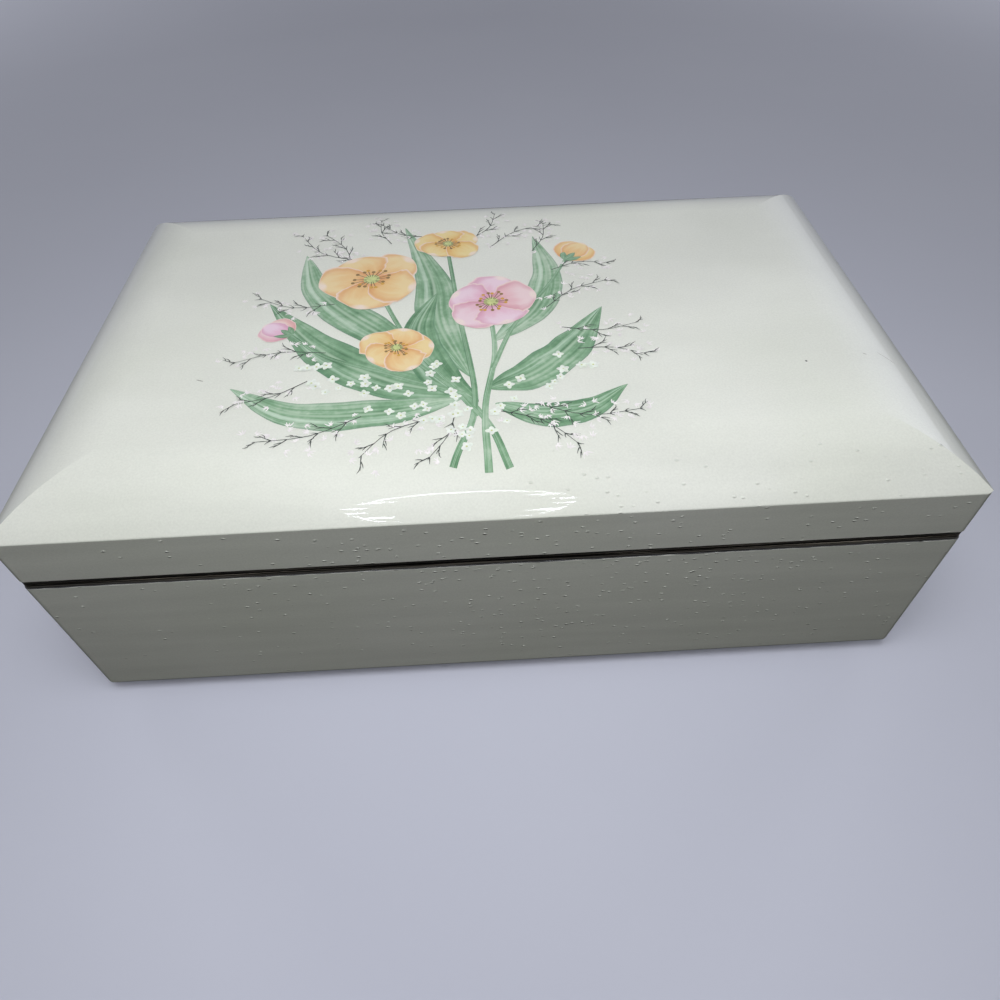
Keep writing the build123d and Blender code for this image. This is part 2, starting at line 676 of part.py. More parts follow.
def bedplate(nodes):
    """The cast plate on four pillars, with the comb's ledge and the pivot holes."""
    length = PLATE_LEFT + PLATE_RIGHT
    depth = PLATE_FRONT + PLATE_BACK
    centre = (MX + (PLATE_RIGHT - PLATE_LEFT) / 2, MY + (PLATE_BACK - PLATE_FRONT) / 2)
    outline = RectangleRounded(length, depth, PLATE_ROUND)
    plate = extrude(Pos(centre[0], centre[1], Z_PLATE) * outline, PLATE_THICK)
    for x, y in pillar_places():
        plate += upright(x, y, (Z_FLOOR, Z_PLATE), PILLAR_DIAMETER)
    ledge = comb_outline()[1]
    plate += plate_between(ledge, (Z_DECK, Z_COMB))
    plate -= upright(MX, MY, (Z_FLOOR, Z_HOUSING_TOP), ARBOR_DIAMETER + 2 * BEARING_CLEARANCE)
    plate -= upright(X_WORM, Y_WORM, (Z_DECK - WORM_PIVOT_DEPTH, Z_TOP), WORM_ARBOR + 2 * BEARING_CLEARANCE)
    plate -= movement_screws(SCREW_CLEARANCE)
    plate -= comb_screws(SCREW_CLEARANCE)
    nodes["bedplate"] = plate
    nodes["movement_screws"] = Compound(children=movement_screws())


def comb(nodes):
    """The tempered steel comb with its eighteen tuned tines."""
    plate = plate_between(comb_outline()[0], (Z_COMB, Z_COMB + TINE_THICK))
    nodes["comb"] = plate - comb_screws(SCREW_CLEARANCE)
    nodes["comb_screws"] = Compound(children=comb_screws())


def winding(nodes):
    """The arbor with its crown wheel, and the butterfly key under the box."""
    top = Z_HOUSING_TOP + HOUSING_WALL
    key_middle = KEY_FLOOR_GAP + KEY_HEIGHT / 2
    arbor = upright(MX, MY, (key_middle, top), ARBOR_DIAMETER)
    disc_top = Z_CROWN_DISC + CROWN_DISC
    outer = CROWN_RADIUS + CROWN_FACE / 2
    arbor += upright(MX, MY, (Z_CROWN_DISC, disc_top), 2 * outer)
    arbor += upright(MX, MY, (Z_CROWN_DISC - CROWN_LIFT / 2, disc_top), CROWN_HUB)
    ring = upright(MX, MY, (disc_top, disc_top + CROWN_MODULE), 2 * outer)
    ring -= upright(MX, MY, (disc_top, disc_top + CROWN_MODULE), 2 * outer - 2 * CROWN_FACE)
    arbor += ring
    pitch = math.pi * CROWN_MODULE
    root = Z_CROWN_PITCH - DEDENDUM * CROWN_MODULE
    tip = Z_CROWN_PITCH + ADDENDUM * CROWN_MODULE
    tooth_outline = [
        (-pitch * ROOT_SHARE / 2, root),
        (pitch * ROOT_SHARE / 2, root),
        (pitch * TIP_SHARE / 2, tip),
        (-pitch * TIP_SHARE / 2, tip),
    ]
    tooth = plate_across(tooth_outline, (outer - CROWN_FACE, outer))
    teeth = [Pos(MX, MY) * Rot(0, 0, 360 * count / CROWN_TEETH) * tooth for count in range(CROWN_TEETH)]
    nodes["winding_arbor"] = arbor + teeth
    half = KEY_WIDTH / 2
    bow = [
        (0, KEY_WAIST / 2),
        (half, KEY_HEIGHT / 2),
        (half, -KEY_HEIGHT / 2),
        (0, -KEY_WAIST / 2),
        (-half, -KEY_HEIGHT / 2),
        (-half, KEY_HEIGHT / 2),
    ]
    wings = Polygon(*bow, align=None)
    tips = [v for v in wings.vertices() if abs(v.X) > half / 2]
    wings = fillet(tips, KEY_HEIGHT / 4)
    key = extrude(Plane.XZ * Pos(MX, key_middle) * wings, KEY_THICK / 2, both=True)
    key = Pos(0, MY, 0) * key
    key += upright(MX, MY, (key_middle - KEY_WAIST / 2, Z_BOARD - KEY_HUB_GAP), KEY_HUB)
    key -= upright(MX, MY, (key_middle, Z_BOARD), ARBOR_DIAMETER + 2 * SCREW_CLEARANCE)
    nodes["winding_key"] = key


def spring_housing(nodes):
    """The drawn cup over the crown wheel, on two legs, with the coiled mainspring in it."""
    z = (Z_HOUSING, Z_HOUSING_TOP)
    cup = upright(MX, MY, z, 2 * HOUSING_RADIUS)
    cup = fillet(cup.edges().sort_by(Axis.Z)[-1], HOUSING_WALL)
    cup -= upright(MX, MY, (z[0] + HOUSING_WALL, z[1] - HOUSING_WALL), 2 * (HOUSING_RADIUS - HOUSING_WALL))
    tab_top = Z_HOUSING_TOP - LEG_DROP + LEG_THICK
    for side in (-1, 1):
        y = sorted((MY + side * (HOUSING_RADIUS - HOUSING_WALL / 2), MY + side * LEG_RADIUS))
        foot = sorted((MY + side * (LEG_RADIUS - LEG_THICK), MY + side * LEG_RADIUS))
        x = (MX - LEG_WIDTH / 2, MX + LEG_WIDTH / 2)
        cup += block(x, y, (tab_top - LEG_THICK, tab_top))
        cup += block(x, foot, (Z_DECK, tab_top))
    cup -= upright(MX, MY, (Z_DECK, Z_TOP), ARBOR_DIAMETER + 2 * BEARING_CLEARANCE)
    nodes["spring_housing"] = cup

    step = SPRING_PITCH / 2
    radius = HOUSING_RADIUS - HOUSING_WALL - step / 2 - 2 * BEARING_CLEARANCE
    coil = []
    side = 1
    for turn in range(2 * SPRING_TURNS):
        ring = Circle(radius) - Circle(radius - SPRING_THICK)
        half_plane = Pos(0, side * 2 * HOUSING_RADIUS) * Rectangle(4 * HOUSING_RADIUS, 4 * HOUSING_RADIUS)
        coil.append(Pos(side * step / 2, 0) * (ring & half_plane))
        radius -= step
        side = -side
    strip = coil[0] + coil[1:]
    z_spring = (z[0] + z[1] - SPRING_HEIGHT) / 2
    nodes["mainspring"] = extrude(Pos(MX, MY, z_spring) * strip, SPRING_HEIGHT)


def cylinder(nodes):
    """The pinned brass cylinder, and the arbor that carries its pinion and train gear."""
    x = (X_CYLINDER, X_CYLINDER_END)
    drum = spindle(x, MY, Z_CYLINDER, 2 * CYLINDER_RADIUS)
    pitch = CYLINDER_LENGTH / NOTES
    pins = []
    for note in range(NOTES):
        for beat in range(PINS_PER_NOTE):
            step = (note * MELODY_STRIDE + beat * (MELODY_STRIDE + note % 2)) % MELODY_STEPS
            angle = 360 * (step + 0.5) / MELODY_STEPS
            pin = Pos(0, 0, CYLINDER_RADIUS) * Cylinder(PIN_DIAMETER / 2, 2 * PIN_LENGTH)
            pins.append(Pos(X_CYLINDER + pitch * (note + 0.5), MY, Z_CYLINDER) * Rot(angle, 0, 0) * pin)
    drum = drum + pins
    drum -= spindle(x, MY, Z_CYLINDER, CYLINDER_ARBOR + 2 * SCREW_CLEARANCE)
    nodes["pinned_cylinder"] = drum
    arbor = spindle(
        (X_PINION - BEARING_GAP / 2, X_BEARING_RIGHT + BEARING_THICK), MY, Z_CYLINDER, CYLINDER_ARBOR
    )
    pinion_turn = 180 / PINION_TEETH - 90
    pinion_x = (X_PINION, X_PINION + PINION_FACE)
    arbor += gear(pinion_x, MY, Z_CYLINDER, PINION_TEETH, CROWN_MODULE, pinion_turn)
    train_x = (X_TRAIN, X_TRAIN + TRAIN_FACE)
    arbor += gear(train_x, MY, Z_CYLINDER, CYLINDER_GEAR_TEETH, TRAIN_MODULE, TRAIN_ANGLE)
    nodes["cylinder_arbor"] = arbor


def governor(nodes):
    """The train wheel, the two-start worm, the air brake and the bridge over them."""
    x = (X_TRAIN - BEARING_GAP / 2, X_BEARING_OUTER + BEARING_THICK)
    arbor = spindle(x, Y_TRAIN, Z_TRAIN, TRAIN_ARBOR)
    pinion_turn = TRAIN_ANGLE + 180 + 180 / TRAIN_PINION_TEETH
    train_x = (X_TRAIN, X_TRAIN + TRAIN_FACE)
    arbor += gear(train_x, Y_TRAIN, Z_TRAIN, TRAIN_PINION_TEETH, TRAIN_MODULE, pinion_turn)
    wheel_x = (X_WORM_WHEEL, X_WORM_WHEEL + WORM_WHEEL_FACE)
    arbor += gear(wheel_x, Y_TRAIN, Z_TRAIN, WORM_WHEEL_TEETH, TRAIN_MODULE, 0)
    nodes["governor_wheel"] = arbor

    tip = WORM_RADIUS + ADDENDUM * TRAIN_MODULE
    core = WORM_RADIUS - DEDENDUM * TRAIN_MODULE
    half_start = 180 / WORM_STARTS
    sections = []
    count = round(WORM_LENGTH / WORM_LEAD * WORM_STEPS)
    for index in range(count + 1):
        z = Z_WORM + WORM_LENGTH * index / count
        turn = 360 * (z - Z_TRAIN) / WORM_LEAD
        points = []
        for start in range(WORM_STARTS):
            centre = turn + 2 * half_start * start
            thread = ((core, -ROOT_SHARE), (tip, -TIP_SHARE), (tip, TIP_SHARE), (core, ROOT_SHARE))
            for radius, share in thread:
                angle = math.radians(centre + half_start * share)
                points.append((radius * math.cos(angle), radius * math.sin(angle)))
        sections.append(Pos(X_WORM, Y_WORM, z) * Polygon(*points, align=None))
    worm = loft(sections, ruled=True)
    arbor_z = (Z_DECK - WORM_PIVOT_DEPTH + BEARING_CLEARANCE, Z_BRIDGE + BRIDGE_THICK)
    worm += upright(X_WORM, Y_WORM, arbor_z, WORM_ARBOR)
    nodes["governor_worm"] = worm

    fly_z = (Z_FLY, Z_FLY + FLY_HEIGHT)
    vane = block(
        (X_WORM - FLY_RADIUS, X_WORM + FLY_RADIUS), (Y_WORM - FLY_THICK / 2, Y_WORM + FLY_THICK / 2), fly_z
    )
    vane += upright(X_WORM, Y_WORM, fly_z, FLY_HUB)
    vane &= upright(X_WORM, Y_WORM, fly_z, 2 * FLY_RADIUS)
    vane -= upright(X_WORM, Y_WORM, fly_z, WORM_ARBOR + 2 * SCREW_CLEARANCE)
    nodes["air_brake"] = vane

    y = (Y_WORM - BRIDGE_WIDTH / 2, Y_WORM + BRIDGE_WIDTH / 2)
    post = block((X_BRIDGE, X_BRIDGE + BRIDGE_THICK), y, (Z_DECK, Z_BRIDGE + BRIDGE_THICK))
    post += block((X_WORM - FLY_HUB, X_BRIDGE), y, (Z_BRIDGE, Z_BRIDGE + BRIDGE_THICK))
    post -= upright(X_WORM, Y_WORM, (Z_FLY, Z_TOP), WORM_ARBOR + 2 * BEARING_CLEARANCE)
    nodes["governor_bridge"] = post


def train_bearings(nodes):
    """Three plates that stand on the bedplate and carry the cylinder and the train wheel."""
    half = BEARING_WIDTH / 2
    cylinder_top = Z_CYLINDER + BEARING_CROWN
    train_top = Z_TRAIN + BEARING_CROWN
    left_outline = [
        (MY - half, Z_DECK),
        (MY + half, Z_DECK),
        (MY + half, cylinder_top),
        (MY - half, cylinder_top),
    ]
    right_outline = [
        (MY - half, Z_DECK),
        (Y_TRAIN + half, Z_DECK),
        (Y_TRAIN + half, train_top),
        (Y_TRAIN - half, train_top),
        (MY - half, cylinder_top),
    ]
    outer_outline = [
        (Y_TRAIN - half, Z_DECK),
        (Y_TRAIN + half, Z_DECK),
        (Y_TRAIN + half, train_top),
        (Y_TRAIN - half, train_top),
    ]
    plates = []
    for x, outline in (
        (X_BEARING_LEFT, left_outline),
        (X_BEARING_RIGHT, right_outline),
        (X_BEARING_OUTER, outer_outline),
    ):
        span = (x, x + BEARING_THICK)
        plate = plate_across(outline, span)
        plate -= spindle(span, MY, Z_CYLINDER, CYLINDER_ARBOR + 2 * BEARING_CLEARANCE)
        plate -= spindle(span, Y_TRAIN, Z_TRAIN, TRAIN_ARBOR + 2 * BEARING_CLEARANCE)
        plates.append(plate)
    nodes["train_bearings"] = Compound(children=plates)


def stop_work(nodes):
    """The rod that the closed lid holds down, its guide, and the pad on the lid that meets it."""
    rod = upright(X_ROD, Y_ROD, (Z_DECK + ROD_FOOT, Z_ROD_TOP), ROD_DIAMETER)
    arm_z = Z_FLY + FLY_HEIGHT / 2
    rod += spindle((X_ROD, X_WORM - FLY_RADIUS - ROD_TO_FLY), Y_ROD, arm_z, ROD_ARM)
    nodes["stop_rod"] = rod
    guide = upright(X_ROD, Y_ROD, (Z_DECK, Z_DECK + GUIDE_HEIGHT), GUIDE_DIAMETER)
    guide += upright(X_ROD, Y_ROD, (Z_DECK, Z_DECK + GUIDE_FLANGE_THICK), GUIDE_FLANGE)
    guide -= upright(X_ROD, Y_ROD, (Z_DECK, Z_TOP), ROD_DIAMETER + 2 * BEARING_CLEARANCE)
    nodes["stop_guide"] = guide
    half = PAD_SIZE / 2
    nodes["stop_pad"] = block(
        (X_ROD - half, X_ROD + half), (Y_ROD - half, Y_ROD + half), (Z_ROD_TOP + PAD_GAP, Z_PANEL)
    )


def music_cover(nodes):
    """The clear cover that lies on two ledges over the movement."""
    y = (Y_MUSIC, Y_LINED_BACK)
    z = (Z_COVER - LEDGE, Z_COVER)
    left = block((X_MUSIC, X_MUSIC + LEDGE), y, z)
    right = block((X_LINED - LEDGE, X_LINED), y, z)
    nodes["cover_ledges"] = Compound(children=[left, right])
    cover = block(
        (X_MUSIC + COVER_CLEARANCE, X_LINED - COVER_CLEARANCE),
        (Y_MUSIC + COVER_CLEARANCE, Y_LINED_BACK - COVER_CLEARANCE),
        (Z_COVER, Z_COVER + COVER_THICK),
    )
    cover -= upright(X_ROD, Y_ROD, (Z_COVER, Z_COVER + COVER_THICK), COVER_ROD_HOLE)
    nodes["music_cover"] = cover


def crowned_profile(middle, half):
    """The lid's section: a flat middle, and an arc down to a lightly rounded arris each side."""
    slope = math.radians(CROWN_SLOPE)
    side_points = []
    for angle in (0, slope / 2, slope):
        across = half - CROWN_WIDTH + CROWN_ARC * math.sin(angle)
        side_points.append((across, Z_TOP - CROWN_ARC * (1 - math.cos(angle))))
    right = [(middle + across, z) for across, z in side_points]
    left = [(middle - across, z) for across, z in side_points]
    outline = Polyline(left[2], (middle - half, Z_TOP_BOARD), (middle + half, Z_TOP_BOARD), right[2])
    outline += ThreePointArc(right[2], right[1], right[0])
    outline += Line(right[0], left[0])
    outline += ThreePointArc(left[0], left[1], left[2])
    face = make_face(outline)
    arrises = [v for v in face.vertices() if abs(v.Y - Z_ARRIS) < ARRIS_ROUND / 10]
    return fillet(arrises, ARRIS_ROUND)


def lid(nodes):
    """The crowned top board on four mitred rails, with a black rim below them."""
    slab = case_slab((Z_LID_RAIL, Z_TOP_BOARD))
    slab = rounded_edges(slab, Z_LID_RAIL, RIM_ARRIS_ROUND)
    for side, rail in mitred_sides(slab).items():
        if side == "back":
            rail -= hinge_screws(1, SCREW_CLEARANCE)
        nodes["lid_" + side] = rail
    along = extrude(Plane.YZ * crowned_profile(Y_MIDDLE, DEPTH / 2), WIDTH, both=True)
    across = extrude(Plane.XZ * crowned_profile(0, WIDTH / 2), 2 * DEPTH, both=True)
    nodes["lid_top"] = case_slab((Z_TOP_BOARD, Z_TOP)) & along & across
    rim = case_slab((Z_LID_RIM, Z_LID_RAIL), RIM_INSET)
    rim -= block((-X_INNER, X_INNER), (Y_INNER_FRONT, Y_INNER_BACK), (Z_WALL, Z_TOP))
    rim -= leaf_notches((Z_WALL, Z_TOP))
    nodes["lid_rim"] = rim


def lid_lining(nodes):
    """The covered board under the lid, with a looking glass held in a gilt trim."""
    x = X_INNER - PANEL_CLEARANCE
    nodes["lid_panel"] = block(
        (-x, x), (Y_INNER_FRONT + PANEL_CLEARANCE, Y_INNER_BACK - PANEL_CLEARANCE), (Z_PANEL, Z_TOP_BOARD)
    )

    def centred(length, depth, z):
        return block((-length / 2, length / 2), (Y_MIDDLE - depth / 2, Y_MIDDLE + depth / 2), z)

    glass = centred(GLASS_LENGTH, GLASS_DEPTH, (Z_GLASS, Z_PANEL))
    rebate = 2 * TRIM_CLEARANCE
    trim = centred(
        GLASS_LENGTH + 2 * (TRIM_WIDTH - TRIM_LAP),
        GLASS_DEPTH + 2 * (TRIM_WIDTH - TRIM_LAP),
        (Z_GLASS - TRIM_LIP, Z_PANEL),
    )
    edges = [e for e in trim.edges() if abs(e.center().Z - Z_GLASS + TRIM_LIP) < TRIM_LIP / 10]
    trim = fillet(edges, TRIM_LIP)
    trim -= centred(GLASS_LENGTH + rebate, GLASS_DEPTH + rebate, (Z_GLASS, Z_PANEL))
    sight = (GLASS_LENGTH - 2 * TRIM_LAP, GLASS_DEPTH - 2 * TRIM_LAP)
    trim -= centred(*sight, (Z_GLASS - TRIM_LIP, Z_PANEL))
    nodes["glass_trim"] = trim
    nodes["looking_glass"] = glass


def main():
    nodes = {}
    body_walls(nodes)
    bottom_board(nodes)
    feet(nodes)
    hinges(nodes)
    linings(nodes)
    partitions(nodes)
    ring_rolls(nodes)
    bedplate(nodes)
    comb(nodes)
    winding(nodes)
    spring_housing(nodes)
    cylinder(nodes)
    governor(nodes)
    train_bearings(nodes)
    stop_work(nodes)
    music_cover(nodes)
    lid(nodes)
    lid_lining(nodes)
    os.makedirs("parts", exist_ok=True)
    for name, shape in nodes.items():
        export_step(shape, "parts/" + name + ".step")
    print(len(nodes), "nodes")


main()
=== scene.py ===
"""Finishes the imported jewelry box: lacquer, hardware, linings, movement, rolls, print and stage."""

import math
import random
from functools import cache, partial

import bpy
from bpy.props import FloatProperty, FloatVectorProperty, PointerProperty
from mathutils import Euler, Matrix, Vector, noise
from mathutils.bvhtree import BVHTree


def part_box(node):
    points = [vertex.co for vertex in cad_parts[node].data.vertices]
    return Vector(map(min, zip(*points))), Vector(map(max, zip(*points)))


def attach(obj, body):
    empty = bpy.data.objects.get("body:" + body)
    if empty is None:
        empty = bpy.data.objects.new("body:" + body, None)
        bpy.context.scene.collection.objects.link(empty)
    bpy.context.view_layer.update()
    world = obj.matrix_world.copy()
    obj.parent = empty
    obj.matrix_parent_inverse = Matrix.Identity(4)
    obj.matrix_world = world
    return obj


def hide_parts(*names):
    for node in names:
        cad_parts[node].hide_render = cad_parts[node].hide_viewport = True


bl_info = {
    "name": "Musical jewelry box",
    "version": (1, 0, 0),
    "blender": (4, 5, 0),
    "location": "3D View > Sidebar > Jewelry box",
    "description": "Finishes a lacquered jewelry box with a wind-up musical movement",
    "category": "Object",
}

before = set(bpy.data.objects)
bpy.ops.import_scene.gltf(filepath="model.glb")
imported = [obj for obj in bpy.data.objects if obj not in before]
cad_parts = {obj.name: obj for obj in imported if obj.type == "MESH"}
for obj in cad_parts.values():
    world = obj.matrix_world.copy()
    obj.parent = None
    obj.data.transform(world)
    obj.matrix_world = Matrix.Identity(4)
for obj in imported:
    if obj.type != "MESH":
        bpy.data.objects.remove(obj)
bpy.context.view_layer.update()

MM = 0.001
# The sockets of a colour mix, and the settings that make a mix one of colours.
COLOUR_A, COLOUR_B = 6, 7
IN_COLOUR = {"output": 2, "data_type": "RGBA"}
# Red, green, blue and alpha of a colour that a user can change.
FOUR_PARTS = {"size": 4, "min": 0, "max": 1}
# The rays that end in the camera's picture, straight or by way of gloss or glass.
SEEN_KINDS = ("Is Camera Ray", "Is Glossy Ray", "Is Transmission Ray")
# A flat pigmented coat under a clear polished one, on the wood and over the print.
LACQUER_COAT = {"Roughness": 0.42, "IOR": 1.5, "Coat Weight": 1.0, "Coat Roughness": 0.028, "Coat IOR": 1.5}

LID_LOW, LID_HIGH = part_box("lid_top")
LID_MIDDLE = (LID_LOW + LID_HIGH) / 2
SEAM_LEVEL = (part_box("body_rim")[0].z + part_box("lid_rim")[1].z) / 2
CYLINDER_LOW, CYLINDER_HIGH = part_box("cylinder_arbor")
CYLINDER_AXIS = (CYLINDER_LOW + CYLINDER_HIGH) / 2

# The camera's place in metres and its turn in degrees, fitted to the box's corners.
CAMERA_PLACE = (-0.0017, -0.216688, 0.2366)
CAMERA_TURN = (41.482255, 1.272187, -2.877267)
FLOOR_RADIUS, FLOOR_SPOKES = 5.0, 96
# The paper's own glow grows to FAR_LIFT between these distances from the box.
LIT_RADIUS, FAR_RADIUS, FAR_LIFT = 0.7, 2.6, 0.58
# How wide the lamps throw, in degrees, and which way the pale wall lies.
LAMP_SPREAD = 150
WALL_WAY = (0.8, 0.5, 0.33)


def srgb(hex_colour):
    """The linear colour of an sRGB hex value."""
    channels = [int(hex_colour[place : place + 2], 16) / 255 for place in (1, 3, 5)]
    return tuple(c / 12.92 if c <= 0.04045 else ((c + 0.055) / 1.055) ** 2.4 for c in channels) + (1.0,)


def per_metre(size_mm):
    """The texture scale at which a pattern repeats every size_mm."""
    return 1000.0 / size_mm


def per_band(size_mm):
    """The scale at which a wave texture's bands repeat every size_mm."""
    return per_metre(size_mm) * math.pi / 10


def feed(node, inputs):
    """Links outputs into the node's sockets and sets the others, a hex value as its colour."""
    for socket, value in inputs.items():
        if isinstance(value, bpy.types.NodeSocket):
            node.id_data.links.new(value, node.inputs[socket])
        else:
            node.inputs[socket].default_value = srgb(value) if isinstance(value, str) else value


def add_node(tree, kind, inputs=None, output=0, stops=None, **settings):
    """Adds a shader node, sets or links its inputs, and returns one of its outputs."""
    node = tree.nodes.new("ShaderNode" + kind)
    for name, value in settings.items():
        setattr(node, name, value)
    if stops:
        elements = node.color_ramp.elements
        elements[0].position, elements[-1].position = stops[0][0], stops[-1][0]
        for position, _ in stops[1:-1]:
            elements.new(position)
        for element, (_, colour) in zip(elements, stops):
            element.color = srgb(colour)
    feed(node, inputs or {})
    return node.outputs[output]


def start_material(name, sockets):
    """A new material, its Principled shader with these sockets set, and add_node for its tree."""
    material = bpy.data.materials.new(name)
    material.use_nodes = True
    shader = next(node for node in material.node_tree.nodes if node.type == "BSDF_PRINCIPLED")
    feed(shader, sockets)
    return material, shader, partial(add_node, material.node_tree)


def object_place(add):
    """Where a point is on the piece, in metres, so a pattern moves with the piece."""
    return add("TexCoord", output="Object")


def sprayed_skin(add, place, look):
    """The normal of a sprayed lacquer coat: slow sags, fine orange peel and nibs of dust."""
    sag = add("TexNoise", {"Vector": place, "Scale": per_metre(look.sag_spacing / MM), "Detail": 1.0})
    normal = add("Bump", {"Height": sag, "Distance": look.sag_depth})
    peel = add("TexNoise", {"Vector": place, "Scale": per_metre(look.peel_spacing / MM)})
    normal = add("Bump", {"Height": peel, "Distance": look.peel_depth, "Normal": normal})
    # Nibs of dust sit in the front of the case, thickest high up and right of the middle, and are rubbed
    # off elsewhere.
    crept = add("Mapping", {"Vector": place, "Scale": (0.7, 1.0, 1.35)})
    cells = {"Vector": crept, "Scale": per_metre(look.nib_spacing / MM)}
    reach = add("TexVoronoi", cells, output="Distance")
    cell = add("TexVoronoi", cells, output="Color")
    draw = add("SeparateColor", {"Color": cell}, output="Red")
    across, depth, level = (add("SeparateXYZ", {"Vector": place}, output=axis) for axis in "XYZ")
    off_middle = add("Math", {0: across, 1: 32 * MM}, operation="SUBTRACT")
    off_middle = add("Math", {0: off_middle}, operation="ABSOLUTE")
    front = add("MapRange", {"Value": depth, "From Min": -70 * MM, "From Max": -82 * MM})
    thick = add(
        "MapRange",
        {"Value": off_middle, "From Min": 30 * MM, "From Max": 130 * MM, "To Min": 0.72, "To Max": 0.12}
    )
    facing = add("TexCoord", output="Normal")
    up = add("SeparateXYZ", {"Vector": facing}, output="Z")
    wall = add("MapRange", {"Value": up, "From Min": 0.1, "From Max": 0.6, "To Min": 1.0, "To Max": 0.0})
    crown = add("MapRange", {"Value": across, "From Min": 2 * MM, "From Max": 26 * MM, "To Max": 0.75})
    wall = add("Math", {0: wall, 1: crown}, operation="MAXIMUM")
    density = add("Math", {0: front, 1: thick}, operation="MULTIPLY")
    high = add("MapRange", {"Value": level, "From Min": 8 * MM, "From Max": 36 * MM, "To Min": 0.3})
    density = add("Math", {0: density, 1: high}, operation="MULTIPLY")
    density = add("Math", {0: density, 1: wall}, operation="MULTIPLY")
    chosen = add("Math", {0: draw, 1: density}, operation="LESS_THAN")
    nib = add(
        "MapRange", {"Value": reach, "From Max": look.nib_reach, "To Min": 1.0, "To Max": 0.0},
        interpolation_type="SMOOTHSTEP"
    )
    height = add("Math", {0: nib, 1: chosen}, operation="MULTIPLY")
    return add("Bump", {"Height": height, "Distance": look.nib_height, "Normal": normal})


@cache
def sprayed_ivory_lacquer():
    """Nitrocellulose lacquer, sprayed ivory over sealed basswood and left glossy."""
    # A clear wet-looking coat over a flat ivory one: faint mottling, orange peel and dust nibs catch the
    # light.
    look = bpy.context.scene.box_lacquer
    material, shader, add = start_material("sprayed ivory nitrocellulose lacquer", LACQUER_COAT)
    place = object_place(add)
    mottle = add("TexNoise", {"Vector": place, "Scale": per_metre(55), "Detail": 4.0})
    aged = add("MapRange", {"Value": mottle, "From Min": 0.35, "From Max": 0.75})
    ivory = add("Mix", {0: aged, COLOUR_A: look.ivory, COLOUR_B: look.aged_ivory}, **IN_COLOUR)
    # Pigment grain of 0.6 mm is drawn coarser than the real ground pigment so that it shows.
    grain = add("TexNoise", {"Vector": place, "Scale": per_metre(0.6)})
    speck = add(
        "MapRange", {"Value": grain, "From Min": 0.25, "From Max": 0.75, "To Min": 0.955, "To Max": 1.04}
    )
    drawn = add("Mapping", {"Vector": place, "Scale": (per_metre(70), per_metre(40), per_metre(6))})
    smear = add("TexNoise", {"Vector": drawn, "Scale": 1.0, "Detail": 3.0})
    smear = add(
        "MapRange", {"Value": smear, "From Min": 0.3, "From Max": 0.7, "To Min": 0.955, "To Max": 1.045}
    )
    tint = add("Math", {0: speck, 1: smear}, operation="MULTIPLY")
    base = add("Mix", {0: 1.0, COLOUR_A: ivory, COLOUR_B: tint}, **IN_COLOUR, blend_type="MULTIPLY")
    # The black of the rims laps over the arrises of body and lid, by hand and so unevenly.
    height = add("SeparateXYZ", {"Vector": place}, output="Z")
    hand = add("TexNoise", {"Vector": place, "Scale": per_metre(9), "Detail": 3.0})
    waver = add("Math", {0: hand, 1: 0.5 * MM, 2: height}, operation="MULTIPLY_ADD")
    from_seam = add("Math", {0: waver, 1: SEAM_LEVEL + 0.25 * MM}, operation="SUBTRACT")
    from_seam = add("Math", {0: from_seam}, operation="ABSOLUTE")
    lapped = add("Math", {0: from_seam, 1: 1.8 * MM}, operation="LESS_THAN")
    base = add("Mix", {0: lapped, COLOUR_A: base, COLOUR_B: "#1B1A18"}, **IN_COLOUR)
    skin = sprayed_skin(add, place, look)
    feed(shader, {"Base Color": base, "Normal": skin, "Coat Normal": skin})
    return material


